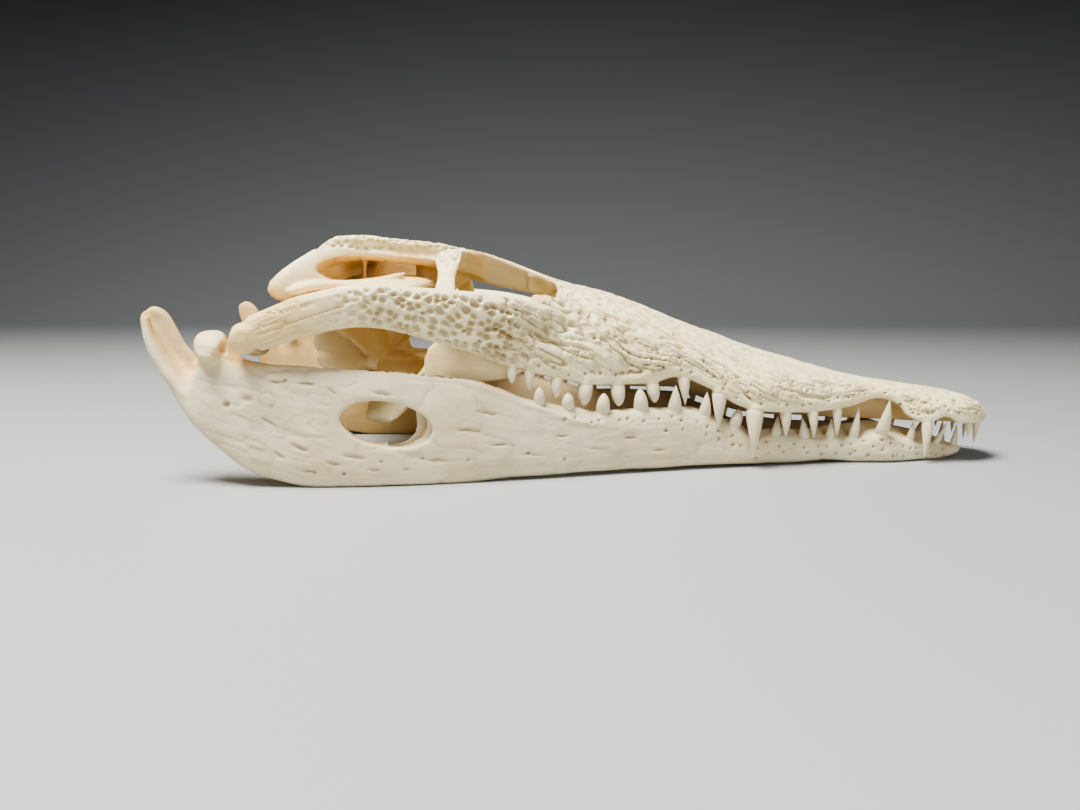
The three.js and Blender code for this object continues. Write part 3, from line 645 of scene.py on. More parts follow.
def jaw_rings(side):
    front = [7.4, 8, 9, 10.5, 12.5]
    middle = list(np.arange(15, 246, 2.5))
    rear = list(np.arange(247.5, 279.9, 1.25))
    return [jaw_ring(side, behind) for behind in front + middle + rear + [279.9]]


def slot_hollow(side):
    return limb(side, [[172, 42.2, 28, 1.2, 5], [180, 44.8, 27, 1.8, 13], [190, 47.1, 25.6, 2.2, 14.2],
                       [205, 48.8, 26, 2.8, 15]], squareness=3)


def muscle_hollow(side):
    return limb(side, [[199.6, 41.6, 28, 4.6, 14], [206, 45, 27, 7.2, 15.4], [218, 45.6, 27.6, 7.4, 15.6],
                       [228, 44.8, 28.6, 7, 14.6], [233, 44, 31, 4.6, 10]], squareness=3)


def jaw_window(side):
    angle = round_angles(40)
    along, up = 13.8 * np.cos(angle), 6.9 * np.sin(angle)
    tilt = 0.2
    outline = np.column_stack((205 + along * math.cos(tilt) - up * math.sin(tilt),
                               19.2 + along * math.sin(tilt) + up * math.cos(tilt)))
    return prism(outline, 50 * side, 62 * side)


def joint_seat(side):
    return limb(side, [[245.6, 38.6, 44, 4.4, 4.9], [246.6, 46, 43.8, 4.4, 4.9], [246.8, 51, 44.6, 4.3, 4.7],
                       [246.4, 56.4, 45.4, 4.8, 5.3], [246, 64, 46, 4.8, 5.3]], squareness=2)


def joint_knob(side):
    return limb(side, [[258.4, 41.4, 40.8, 1, 1], [258.6, 44, 43.4, 3.4, 2.8], [258.2, 48, 44.8, 4.2, 2.9],
                       [257.6, 52, 44.4, 4.6, 2.8], [257.4, 55, 42, 3.8, 2.6], [257.4, 57, 39, 1.8, 1.5]],
                squareness=2.3)


def inner_ridge(side):
    return limb(side, [[264.4, 43.6, 35.4, 1.2, 1.2], [267.4, 43.8, 38.8, 1.7, 1.7],
                       [270.4, 44, 43, 1.9, 1.9], [272.6, 44, 47.6, 2, 2], [274.6, 44.2, 51.2, 2, 2],
                       [277, 44.6, 53, 1.8, 1.8],
                       [278.6, 45, 53, 1.2, 1.2]], squareness=2)


def outer_ridge(side):
    return limb(side, [[266, 51, 27.4, 1.2, 1.2], [269.4, 50.4, 31, 1.6, 1.6], [272.6, 50, 35.4, 1.7, 1.7],
                       [275.8, 49.8, 41.4, 1.7, 1.7], [277.8, 49.4, 47.4, 1.6, 1.6],
                       [278.4, 48.6, 51.6, 1.5, 1.5]], squareness=2)


def rear_groove(side):
    return limb(side, [[262.5, 48.8, 35, 1.4, 1.4], [266, 48.4, 36.6, 2.8, 2.8], [270, 48.1, 42, 3, 3],
                       [274, 48.2, 49.2, 2.8, 2.8], [277.5, 48.2, 54.4, 2.4, 2.4], [282, 48, 59, 2, 2]],
                squareness=2)


LOWER_TEETH = [
    [11, 5, 4.6, 10.4, 12, 2.7], [18.6, 8.6, 6.4, 15.6, 13.2, 2.6], [29, 11.6, 8.6, 28.6, 14.2, 2.8],
    [40.2, 14.4, 10.6, 38.8, 22, 5], [49.8, 14, 9.6, 48.6, 19.2, 3.4], [58.2, 14.8, 9.4, 58.1, 15.6, 3.6],
    [67.8, 16.8, 9.6, 68.6, 16.2, 3.8], [78.2, 19.2, 10.8, 77.8, 17, 3.6], [93.2, 22.8, 14.4, 91.8, 20, 4.4],
    [103.7, 25, 18.4, 103, 26, 4.4], [114, 27.4, 20.4, 113.8, 28.4, 4.8],
    [125.4, 30.4, 20.6, 125.9, 27.6, 4.8], [138.3, 34.2, 20.6, 137.9, 26.6, 4.6],
    [149.6, 37.6, 22.6, 149.6, 27.2, 4.2],
    [158.7, 40.4, 24.4, 158.7, 29.2, 3.7],
]
LOWER_LEAN = 0.5
FANG = 3
FANG_LEAN = 2.2                  # the fourth tooth leans out into the notch of the snout


def lower_lean(index):
    return FANG_LEAN if index == FANG else LOWER_LEAN


def build_jaw(side):
    bar = carve(solid(jaw_rings(side)), slot_hollow(side), muscle_hollow(side), jaw_window(side),
                joint_seat(side), rear_groove(side))
    knob = carve(solid(joint_knob(side)), joint_seat(side))
    added = solids([inner_ridge(side), outer_ridge(side),
                    *[collar(side, row) for row in LOWER_TEETH]])
    return fuse([bar, knob, *added], JAW_MESH, 7)


# ---------------------------------------------------------------- teeth
ROOT_LENGTH = 1.6                # of each tooth, hidden in the bone, mm
TOOTH_SIDES = 20


def tooth(side, row, lean):
    """A cone that curves inwards, with a keel in front and one behind."""
    behind, out, neck, tip_behind, tip, width = row
    length = abs(tip - neck)
    root = ROOT_LENGTH / length
    along = np.linspace(0, 1, 15) * (1 + root) - root
    above = np.clip(along, 0, 1)
    slender = length > 1.6 * width
    taper, rounding = (1.35, 0.85) if slender else (2.4, 0.62)
    swell = np.where(along < 0, 0.48 + 0.24 * along / root, 0.48 * (1 - above ** taper) ** rounding)
    radius = np.maximum(width * swell, width * 0.03)
    bow = np.sin(above * math.pi) * width * 0.14
    angle = round_angles(TOOTH_SIDES)
    keel = 1 + 0.06 * np.abs(np.cos(angle)) ** 8
    rings = []
    for t, r, b in zip(along, radius, bow):
        centre = np.array([behind + (tip_behind - behind) * t, out + lean * t + b, neck + (tip - neck) * t])
        rings.append(np.column_stack((
            centre[0] + r * np.cos(angle) * keel,
            (centre[1] + r * 0.86 * np.sin(angle)) * side,
            np.full(TOOTH_SIDES, centre[2]))))
    return placed(rings)


# ---------------------------------------------------------------- relief of the bone
cheek_top = through((152, 57), (158.5, 54.7), (165, 55.6), (171, 57), (176, 58.4), (186, 59.3), (195, 60),
                    (205, 61.7), (219, 60.3), (231, 57.6), (242, 54), (251, 48))
cheek_low = through((150, 31), (162, 33.8), (167, 35.3), (174, 37.8), (180, 40.1), (187, 42.7), (191, 44),
                    (197, 45.8), (204, 47.9), (214.7, 48.5), (223.7, 46.8), (235.6, 43.5), (247.7, 39.9))

UPPER_SPOTS = (row_of_spots(5, 168, 4.6, margin, 11, lift=3.4)
               + row_of_spots(8, 128, 7.4, margin, 12, lift=7.2, spread=1.6)
               + row_of_spots(2, 34, 3.6, lambda s: 19.5, 13, spread=3.4)
               + row_of_spots(60, 140, 11, lambda s: (margin(s) + crown(s)) / 2, 14, spread=5))
LOWER_SPOTS = (row_of_spots(9, 152, 4.4, jaw_top, 21, lift=-3)
               + row_of_spots(10, 118, 6.2, jaw_top, 22, lift=-6, spread=1.2)
               + row_of_spots(14, 60, 5, lambda s: 4.2, 23, spread=1.6)
               + row_of_spots(150, 240, 13, lambda s: 6.5, 24, spread=2.5)
               + [(251, 25.5, 2.4), (233, 33, 1.3)])


def read_rows(items, field, width):
    """The field of every item, as rows of this many numbers."""
    values = np.empty(len(items) * width)
    items.foreach_get(field, values)
    return values.reshape(-1, width)


def read_surface(piece):
    """The place of every vertex, in metres, and the direction it faces."""
    return read_rows(piece.data.vertices, "co", 3), read_rows(piece.data.vertex_normals, "vector", 3)


def write_field(piece, name, values):
    layer = piece.data.attributes.new(name, "FLOAT", "POINT")
    layer.data.foreach_set("value", np.clip(values, 0, 1).astype(np.float32))


CHIN_GAP = 0.1                   # each half of the lower jaw keeps this far from the middle plane, mm


def sculpt(piece, relief, keep_side=0):
    """Pushes the surface in and out along its normals, and notes where shade is painted into it and which
    places are warm.

    A piece with a side to keep stays on that side of the middle plane.
    """
    place, facing = read_surface(piece)
    behind = LENGTH / 2 - place[:, 0] / MM
    out = np.abs(place[:, 1]) / MM
    up = place[:, 2] / MM
    side = np.sign(place[:, 1]).astype(np.int64)
    outward = facing[:, 1] * np.where(side == 0, 1, side)
    push, painted_shade, warm = relief(behind, out, up, outward, facing[:, 2], side)
    place += facing * (push * MM)[:, None]
    if keep_side:
        place[:, 1] = keep_side * np.maximum(place[:, 1] * keep_side, CHIN_GAP * MM)
    place = np.clip(place, cad_box[0], cad_box[1])
    piece.data.vertices.foreach_set("co", place.reshape(-1))
    piece.data.update()
    write_field(piece, "painted_shade", painted_shade)
    write_field(piece, "warm", warm)
    _, facing = read_surface(piece)
    layer = piece.data.attributes.new("facing", "FLOAT_VECTOR", "POINT")
    layer.data.foreach_set("vector", facing.reshape(-1))


FIELDS = {"painted_shade": ("value", 1), "warm": ("value", 1), "facing": ("vector", 3)}


def read_fields(piece):
    return {name: read_rows(piece.data.attributes[name].data, kind, width)
            for name, (kind, width) in FIELDS.items()}


def surface_tree(piece):
    """The places and fields of a whole surface, for looking up the nearest."""
    place, _ = read_surface(piece)
    tree = KDTree(len(place))
    for index, point in enumerate(place):
        tree.insert(point, index)
    tree.balance()
    return tree, read_fields(piece)


def mend_edges(piece, whole_surface):
    """Gives the new places along a cut the fields of the whole surface, so no seam shows."""
    tree, whole = whole_surface
    fields = read_fields(piece)
    lost = np.flatnonzero(np.linalg.norm(fields["facing"], axis=1) < 0.9)
    nearest = [tree.find(piece.data.vertices[index].co)[1] for index in lost]
    for name, (kind, _) in FIELDS.items():
        fields[name][lost] = whole[name][nearest]
        piece.data.attributes[name].data.foreach_set(kind, fields[name].reshape(-1))


def keep_facing(piece):
    """Shades each piece as the whole skull was shaded there."""
    mesh = piece.data
    corners = np.empty(len(mesh.loops), int)
    mesh.loops.foreach_get("vertex_index", corners)
    whole = read_fields(piece)["facing"][corners]
    whole = whole / np.maximum(np.linalg.norm(whole, axis=1, keepdims=True), 1e-6)
    own = read_rows(mesh.corner_normals, "vector", 3)
    close = (whole * own).sum(axis=1) > 0.8
    mesh.normals_split_custom_set(np.where(close[:, None], whole, own))
    mesh.attributes.remove(mesh.attributes["facing"])


def slots(behind, up, marks):
    """1 in long dents, each at (behind, up) with its half length, half width and slope."""
    depth = np.zeros_like(behind)
    for at, height, half_long, half_wide, slope in marks:
        along = (behind - at) * math.cos(slope) + (up - height) * math.sin(slope)
        across = (up - height) * math.cos(slope) - (behind - at) * math.sin(slope)
        near = np.hypot(along / half_long, across / half_wide)
        depth = np.maximum(depth, 1 - smooth(0.3, 1.2, near))
    return depth


def cranium_relief(behind, out, up, outward, upward, side):
    shift = side * 57.0                      # the two sides carry different marks
    height = np.clip((up - margin(behind)) / (crown(behind) - margin(behind)), 0, 1.2)
    flow = height * 27 - behind * 0.2 * smooth(60, 120, behind)
    above_teeth = up - margin(behind)
    above_low = up - cheek_low(behind)
    below_top = cheek_top(behind) - up

    # which way each place faces, and the smooth inside of the eye socket
    socket = (smooth(151.4, 153.4, behind) * smooth(0.2, 1.4, -below_top) * smooth(42, 38, out)
              * (behind < 183))
    sideways = smooth(0.2, 0.55, outward)
    on_top = smooth(0.45, 0.75, upward) * (1 - socket * smooth(0.95, 0.8, upward))
    crest = smooth(0.74, 0.93, upward)
    outside = np.clip(sideways + on_top, 0, 1) * (1 - socket)
    sideways = sideways * (1 - socket)

    # round pits in the cheek bar, larger and closer in its middle
    bar = (between(164, 213, 8, behind) * smooth(-0.4, 1, above_low)
           * smooth(0.5, 2.2, below_top) * sideways * smooth(36, 40, out))
    warped = noise(behind / 7, up / 7, 14) * 0.3 + noise(behind / 2.6, up / 2.6, 25) * 0.14
    slant = 0.42
    down = (behind + shift) * math.cos(slant) + up * math.sin(slant)
    over = up * math.cos(slant) - (behind + shift) * math.sin(slant)
    honey = round_pits(down / 3 + warped, over / 2.35 + warped, 1, 0.75) * bar
    folds = grooves(down / 5, over / 1.7 + warped, 26, 4) * bar * (1 - honey)

    # table and brow
    roof = smooth(160, 186, behind) * (1 - smooth(228, 234, behind)) * on_top * smooth(66, 70, up)
    rim = between(184, 231, 4, behind) * smooth(72, 73.5, up) * (1 - smooth(233, 240, behind)) * sideways
    roof_pits = round_pits((behind + shift) / 2.9, (out * side) / 2.7, 2) * roof
    rim_pits = round_pits((behind + shift) / 2.3, up / 1.9, 19) * rim

    # top of the snout
    snout_top = (1 - smooth(150, 160, behind)) * on_top * crest
    top_lines = grooves((behind + shift) / 6.5, out * side / 1.7, 4) * snout_top
    top_pits = round_pits((behind + shift) / 4.2, out * side / 2.8, 5) * snout_top * smooth(50, 140, behind)

    # side of the snout: ridges that run with it, stronger towards the eye, none next to the teeth
    strength = 0.8 + 0.3 * smooth(70, 130, behind)
    face = sideways * (1 - smooth(166, 180, behind)) * (1 - crest) * smooth(1.8, 4.4, above_teeth)
    bend = noise(behind / 14, up / 8, 13) * 1.6
    side_lines = grooves((behind + shift) / 6.4, (flow + bend) / 1.95, 6, 6) * face * strength
    fine_lines = grooves((behind + shift) / 3.2, (flow + bend) / 0.95, 17) * face * strength
    side_pits = (round_pits((behind + shift) / 4.2, (flow + bend) / 2.4, 8) * face
                 * smooth(100, 150, behind) * smooth(0.22, 0.42, height))
    swells = noise((behind + shift) / 8, flow / 4, 21) * face * strength

    # quadratojugal: branching grooves that run down to the joint
    rear_bar = sideways * smooth(203, 214, behind) * (1 - smooth(238, 246, behind)) * smooth(46, 51, out)
    rear_lines = grooves((behind + shift) / 9, (up + behind * 0.34) / 1.8, 9, 7) * rear_bar

    spots = holes(behind + side * 1.3, up, UPPER_SPOTS, 0.56) * sideways * (1 - smooth(162, 170, behind))
    tip = (1 - smooth(26, 46, behind)) * outside * smooth(0.8, 2, above_teeth)
    tip_cells = round_pits((behind + shift) / 3, (up + out * side * 0.7) / 2.6, 10)
    tip_dots = smooth(0.6, 0.95, tip_cells) * smooth(-0.2, 0.4, noise(behind / 3, (up + out) / 3, 12)) * tip
    tip_lumps = noise(behind / 2.4, (up + out) / 2.4, 22) * tip

    # the lip of the socket in front of the eye is a raised, smooth roll
    socket_lip = np.exp(-((np.abs(below_top) - 0.6) / 1.2) ** 2) * between(154, 182, 3, behind) * sideways

    lumps = noise(behind / 9, (up + out) / 9, 15) * 0.18 + noise(behind / 3.4, (up + out) / 3, 16) * 0.07
    cracks = (grooves(behind / 7 + up / 9, (up - out * 0.4) / 5.5, 18, 16) * (1 - outside)
              * smooth(186, 196, behind))

    folded = smooth(186, 200, behind) * (1 - outside) * smooth(60, 52, up) * smooth(40, 34, out)
    push = (lumps * (0.35 + 0.65 * outside)
            - 1.7 * honey - 0.7 * folds - 1.0 * roof_pits - 0.8 * rim_pits - 1.3 * top_lines - 0.8 * top_pits
            - 1.55 * side_lines - 0.5 * fine_lines - 0.7 * side_pits + 0.6 * swells
            - 0.9 * rear_lines - 0.85 * spots - 0.5 * tip_dots + 0.2 * tip_lumps
            + 0.5 * bar + 0.3 * socket_lip - 0.6 * cracks
            + 0.9 * folded * noise(behind / 6, (up + out) / 5, 27))
    # painted shade: pits, grooves, cracks and small holes are coloured darker, where shade falls in them
    painted_shade = (0.8 * honey + 0.25 * folds + 0.55 * roof_pits + 0.5 * rim_pits + 0.4 * top_lines
              + 0.3 * top_pits + 0.72 * side_lines + 0.3 * fine_lines + 0.35 * side_pits
              + 0.3 * rear_lines + 0.95 * spots + 0.75 * tip_dots + 0.5 * cracks)

    inside = 1 - np.clip(outside + socket, 0, 1)
    rear = smooth(180, 196, behind)
    quadrate = smooth(206, 232, behind) * smooth(64, 58, up) * smooth(14, 22, out)
    ear = between(198, 231, 2, behind) * smooth(31, 26, out) * between(60, 71.5, 1.5, up)
    socket_wall = socket * smooth(175, 181, behind) * smooth(24, 20, out)
    core = (between(184, 246, 3, behind) * smooth(38, 33, out)
            * np.maximum(smooth(66, 62, up),
                         smooth(72, 69, up) * smooth(24, 20, out) * smooth(226, 220, behind)))
    # the underside of the upper jaw along the mouth gap: warm in tone, and darkened with painted shade
    mouth = (smooth(0.1, -0.4, upward) * smooth(snout_half(behind) * 0.97, snout_half(behind) * 0.9, out)
             * (behind < 158) * smooth(4, 1, above_teeth))
    cheek_wall = between(164, 206, 3, behind) * between(35, 38.6, 0.6, out) * smooth(46, 43, up)
    prong_tip = smooth(239, 243, behind) * smooth(32, 35, out) * smooth(53, 55, up)
    warm = (0.05 + 0.55 * quadrate * outside + 0.6 * core + 0.5 * mouth
            + 0.3 * cheek_wall + 0.4 * prong_tip + 0.8 * inside * rear * smooth(46, 40, out)
            + 0.42 * socket + 0.5 * socket_wall + 0.62 * ear + 0.3 * inside * smooth(150, 175, behind)
            + 0.6 * between(180, 202, 4, behind) * smooth(33, 28, out) * smooth(0.5, 0.2, upward)
            * smooth(74, 71, up))
    warm = warm + 0.12 * noise(behind / 13, (up + out) / 11, 20)
    # painted shade deep in the ear recess and in the mouth gap
    painted_shade = painted_shade + 0.8 * ear * smooth(25, 18, out) + 0.85 * mouth
    return push, painted_shade, warm


JAW_SLOTS = [
    # behind, up, half length, half width, slope
    [245.1, 27.4, 2.1, 1.2, 0.05], [236.4, 32.5, 3.4, 0.55, 0.04], [227.6, 32, 3, 0.5, 0.05],
    [219.8, 29.6, 2.2, 0.5, 0.7], [205.2, 28.8, 3.4, 0.7, 0.2], [230, 12.8, 3.4, 0.7, 0.42],
    [236.4, 10.6, 2.1, 0.55, 0.6], [220.2, 7.8, 2.4, 0.5, 0.2], [227.6, 5.4, 2.6, 0.45, 0.15],
    [213.8, 9.8, 4, 0.7, 0.16], [208, 5.6, 2.2, 0.45, 0.1], [198.4, 5.5, 1.2, 0.5, 0.1],
    [239, 20.5, 3.2, 0.45, 0.5], [180, 17, 4.6, 0.4, 0.12], [170, 12, 5, 0.4, 0.1], [189, 8, 3.6, 0.4, 0.1],
    [252.2, 42.4, 1, 2.4, 0], [160, 8.4, 4, 0.35, 0.05], [150, 13.6, 3.2, 0.35, 0.1],
    [139, 9, 3.6, 0.35, 0.05], [128, 12, 2.8, 0.35, 0.1], [118, 7.4, 3.2, 0.35, 0.05],
    [174, 22, 3.8, 0.4, 0.24],
]
ridge_height = through((138, 17.2), (143, 17.6), (158.5, 22.6), (171, 28), (184, 33))


def jaw_relief(behind, out, up, outward, upward, side):
    shift = side * 41.0
    deep = jaw_top(behind) - jaw_bottom(behind)
    height = np.clip((up - jaw_bottom(behind)) / deep, 0, 1.2)
    flow = height * 24
    sideways = smooth(0.2, 0.55, outward)
    front = 1 - smooth(246, 250, behind)
    lines = grooves((behind + shift) / 12, flow / 2.4, 31, 9) * sideways * front
    fine = grooves((behind + shift) / 5, flow / 1.1, 33, 7) * sideways * front * smooth(80, 20, behind)
    rear_lines = (grooves((behind + shift) / 7, (up - behind * 0.3) / 2.2, 35, 6) * sideways
                  * between(222, 262, 8, behind))
    above_ridge = up - ridge_height(behind)
    along_ridge = between(140, 184, 4, behind) * sideways
    ridge = np.exp(-(above_ridge / 0.9) ** 2) * along_ridge
    shelf = smooth(0.2, 1.6, above_ridge) * along_ridge
    spots = holes(behind + side * 1.7, up, LOWER_SPOTS, 0.58) * sideways
    marks = slots(behind + side * 0.8, up, JAW_SLOTS) * sideways
    swirl = np.exp(-((np.hypot(behind - 240, (up - 27.1) * 1.15) - 2.5) / 0.45) ** 2) * sideways
    knob = between(249, 266, 2.5, behind) * smooth(33, 40, up)
    lumps = noise(behind / 12, up / 8, 36) * 0.22 + noise(behind / 4, up / 3, 37) * 0.08
    push = (lumps * (1 + 2 * knob) - 0.3 * lines - 0.2 * fine - 0.35 * rear_lines - 0.85 * spots
            - 0.7 * marks - 0.3 * swirl + 0.45 * ridge - 0.4 * shelf)
    # painted shade in the grooves, holes and slots, and a painted shadow just below the ridge
    painted_shade = (0.26 * lines + 0.18 * fine + 0.25 * rear_lines + 0.95 * spots + 0.6 * marks + 0.3 * swirl
              + 0.2 * np.exp(-((above_ridge + 1.4) / 0.9) ** 2) * along_ridge)
    groove = (smooth(259, 264, behind) * smooth(0.05, 0.45, upward + 0.3 * outward)
              * smooth(43.5, 45.5, out) * smooth(51.4, 49.6, out))
    seat = between(241, 253, 1.5, behind) * smooth(36, 38.5, up) * smooth(0.1, 0.5, upward)
    # the inner face of the jaw: warm in tone, and darkened with painted shade, most towards the front
    inside = smooth(0.1, -0.4, outward) * (0.5 + 0.5 * smooth(170, 190, behind))
    tip = smooth(276, 279, behind) * smooth(48, 52, up)
    joint = between(249.5, 254, 1.4, behind) * between(39, 45, 1.4, up)
    warm = (0.1 + 0.55 * groove + 0.34 * knob + 0.6 * seat + 0.8 * inside + 0.3 * tip + 0.5 * joint
            + 0.1 * noise(behind / 15, up / 10, 38))
    # painted shade in the joint seat, in the rear groove and on the inner face of the jaw
    painted_shade = painted_shade + 0.3 * seat + 0.36 * groove + inside * (0.4 + 0.8 * smooth(190, 165, behind))
    return push, painted_shade, warm


# ---------------------------------------------------------------- finishes
class Value:
    """A number that varies over a surface. Sums on it add Math nodes."""

    def __init__(self, finish, socket):
        self.finish = finish
        self.socket = socket

    def sum(self, operation, first, second):
        return self.finish.add("ShaderNodeMath", {"operation": operation}, {0: first, 1: second})

    def __add__(self, other):
        return self.sum("ADD", self, other)

    __radd__ = __add__

    def __sub__(self, other):
        return self.sum("SUBTRACT", self, other)

    def __rsub__(self, other):
        return self.sum("SUBTRACT", other, self)

    def __mul__(self, other):
        return self.sum("MULTIPLY", self, other)

    __rmul__ = __mul__

    def clipped(self, low, high):
        return self.finish.add("ShaderNodeClamp", {}, {"Value": self, "Min": low, "Max": high})


class Finish:
    """A material built node by node round one Principled shader."""

    def __init__(self, name, **plain):
        self.material = bpy.data.materials.new(name)
        self.material.use_nodes = True
        self.tree = self.material.node_tree
        self.shader = self.tree.nodes["Principled BSDF"]
        for socket, value in plain.items():
            self.shader.inputs[socket.replace("_", " ").title()].default_value = value

    def set(self, socket, value):
        if isinstance(value, Value):
            self.tree.links.new(value.socket, socket)
        else:
            socket.default_value = value

    def add(self, kind, settings, sockets, output=0):
        node = self.tree.nodes.new(kind)
        for key, value in settings.items():
            setattr(node, key, value)
        for key, value in sockets.items():
            self.set(node.inputs[key], value)
        return Value(self, node.outputs[output])

    def feed(self, socket, value):
        self.set(self.shader.inputs[socket], value)

    def place(self):
        return self.add("ShaderNodeTexCoord", {}, {}, "Object")

    def stretched(self, scale):
        return self.add("ShaderNodeMapping", {}, {"Vector": self.place(), "Scale": scale})

    def noise(self, scale, detail=4, roughness=0.55, stretch=(1, 1, 1)):
        return self.add("ShaderNodeTexNoise", {},
                        {"Vector": self.stretched(stretch), "Scale": scale, "Detail": detail,
                         "Roughness": roughness}, "Fac")

    def field(self, name):
        return self.add("ShaderNodeAttribute", {"attribute_name": name}, {}, "Fac")

    def mix(self, amount, first, second):
        node = self.tree.nodes.new("ShaderNodeMix")
        node.data_type = "RGBA"
        self.set(node.inputs["Factor"], amount)
        colours = [socket for socket in node.inputs if socket.type == "RGBA"]
        self.set(colours[0], first)
        self.set(colours[1], second)
        return Value(self, next(s for s in node.outputs if s.type == "RGBA"))

    def bump(self, height, strength, distance):
        return self.add("ShaderNodeBump", {}, {"Height": height, "Strength": strength, "Distance": distance})


def bone_finish(name, pale, dull):
    # the dark brown colour is painted shade, laid into pits, grooves, holes and shaded recesses
    ochre, painted_shade_brown, shade = (0.73, 0.49, 0.19, 1), (0.20, 0.10, 0.035, 1), (0.40, 0.28, 0.15, 1)
    finish = Finish(name, roughness=0.6)
    clouds = finish.noise(70, 5)
    blotch = finish.noise(220, 3)
    streak = finish.noise(260, 4, 0.6, (0.18, 1, 1))
    grain = finish.noise(1700, 3, 0.6)
    painted_shade = finish.field("painted_shade")
    warm = finish.field("warm")
    colour = finish.mix((clouds * 2.2 - 0.7).clipped(0, 0.8), pale, dull)
    colour = finish.mix((streak * 1.3 - 0.56).clipped(0, 0.26), colour, shade)
    colour = finish.mix((warm + (blotch - 0.5) * 0.5 * warm).clipped(0, 1), colour, ochre)
    # painted shade: dark brown mixed in by the painted shade field, in pits, grooves, holes and shaded
    # recesses
    colour = finish.mix((painted_shade * 0.62).clipped(0, 0.85), colour, painted_shade_brown)
    finish.feed("Base Color", colour)
    finish.feed("Roughness", (0.5 + grain * 0.16 + painted_shade * 0.1).clipped(0.4, 0.85))
    height = grain * 0.4 + streak * 0.8 + blotch * 0.5
    finish.feed("Normal", finish.bump(height, 0.35, 0.0004))
    return finish.material


def enamel_finish():
    finish = Finish("tooth_enamel", roughness=0.3)
    lines = finish.noise(900, 3, 0.6, (1, 1, 0.12))
    clouds = finish.noise(180, 3)
    colour = finish.mix((clouds * 1.6 - 0.4).clipped(0, 1), (0.76, 0.69, 0.50, 1), (0.58, 0.49, 0.32, 1))
    finish.feed("Base Color", colour)
    finish.feed("Roughness", (0.22 + lines * 0.25).clipped(0.2, 0.5))
    finish.feed("Normal", finish.bump(lines, 0.2, 0.0002))
    return finish.material


def backdrop_finish():
    """Pale paper: evenly grey on the floor, with painted shade that darkens it up the wall."""
    finish = Finish("studio_paper", roughness=0.6)
    apart = finish.tree.nodes.new("ShaderNodeSeparateXYZ")
    finish.tree.links.new(finish.place().socket, apart.inputs[0])
    rise = Value(finish, apart.outputs["Z"])
    # painted shade: the paper darkens with height, where the light falls off up the wall
    colour = finish.mix((rise * 1.25).clipped(0, 1), (0.36, 0.375, 0.385, 1), (0.07, 0.07, 0.072, 1))
    finish.feed("Base Color", colour)
    return finish.material


# ---------------------------------------------------------------- parting the cranium
FAR = 90
REAR = 262
REAR_CUT, BROW_CUT, WALL_CUT, JUGAL_CUT, CHEEK_CUT = 158, 180, 174, 192, 236
BROW_HALF, BRAIN_HALF, WALL_OUT, WALL_TOP = 24, 17, 38.8, 46
ROOF_CUT = [[BROW_CUT, 64.4], [191, 65.4], [214, 66.5], [219, 62], [225, 60.4], [231, 58.6], [238, 55.6],
            [REAR, 51]]
PALATE_CUT = [[REAR_CUT, WALL_TOP], [196, WALL_TOP], [215, 38.6], [221, 30], [224, -1], [REAR_CUT, -1]]
QUADRATE_CUT = [[JUGAL_CUT, 43.4], [200, 45.8], [210, 49.4], [220, 51.9], [CHEEK_CUT, 53.6]]


def box(start, end, out_low, out_high, low, high):
    return plan([[start, out_low], [end, out_low], [end, out_high], [start, out_high]], low, high)


def part_off(piece, cutter):
    """Splits the piece in two: what lies in the cutter, and the rest."""
    halves = []
    for operation in ("INTERSECT", "DIFFERENCE"):
        half = piece.copy()
        half.data = piece.data.copy()
        bpy.context.collection.objects.link(half)
        combine(half, operation, cutter)
        halves.append(half)
    remove(cutter)
    remove(piece)
    return halves


def palate_cutter():
    """The narrow bar in front, the cheek walls and the wings, all below the palate's upper face."""
    cutter, walls, wings = solids([box(REAR_CUT - 1, 230, -BROW_HALF, BROW_HALF, -2, FAR),
                                   box(WALL_CUT, 230, -WALL_OUT, WALL_OUT, -2, FAR - 1),
                                   box(196, 230, -44, 44, -3, 34)])
    lower = solid(prism(PALATE_CUT, -FAR, FAR))
    for operation, other in (("UNION", walls), ("UNION", wings), ("INTERSECT", lower)):
        combine(cutter, operation, other)
        remove(other)
    return cutter


def part_cranium(cranium):
    pieces = {}
    pieces["snout"], rest = part_off(cranium, solid(box(-5, REAR_CUT, -FAR, FAR, -5, FAR)))
    roof = solid(prism(ROOF_CUT + [[REAR, FAR], [BROW_CUT, FAR]], -FAR, FAR))
    pieces["skull_table"], rest = part_off(rest, roof)
    brow = solid(box(REAR_CUT - 1, BROW_CUT + 1, -BROW_HALF, BROW_HALF, 50, FAR))
    pieces["brow"], rest = part_off(rest, brow)
    pieces["palate"], rest = part_off(rest, palate_cutter())
    brain = solid(box(BROW_CUT, REAR, -BRAIN_HALF, BRAIN_HALF, -5, FAR))
    pieces["braincase"], rest = part_off(rest, brain)
    right, left = part_off(rest, solid(box(REAR_CUT - 1, REAR, -FAR, 0, -5, FAR)))
    for name, half, side in (("right", right, -1), ("left", left, 1)):
        outline = [[JUGAL_CUT, 5], [REAR, 5], [REAR, FAR], [CHEEK_CUT, FAR], *QUADRATE_CUT[::-1]]
        region = solid(plan([[behind, out * side] for behind, out in outline], -5, FAR))
        pieces["quadrate_" + name], pieces["cheek_" + name] = part_off(half, region)
    return pieces


# ---------------------------------------------------------------- the skull
MOST_TRIANGLES = 170000          # of the bone of one piece, before its teeth are joined
SEAM_MARGIN = 2                  # faces this near to a cut stay as they are, so the seam stays shut


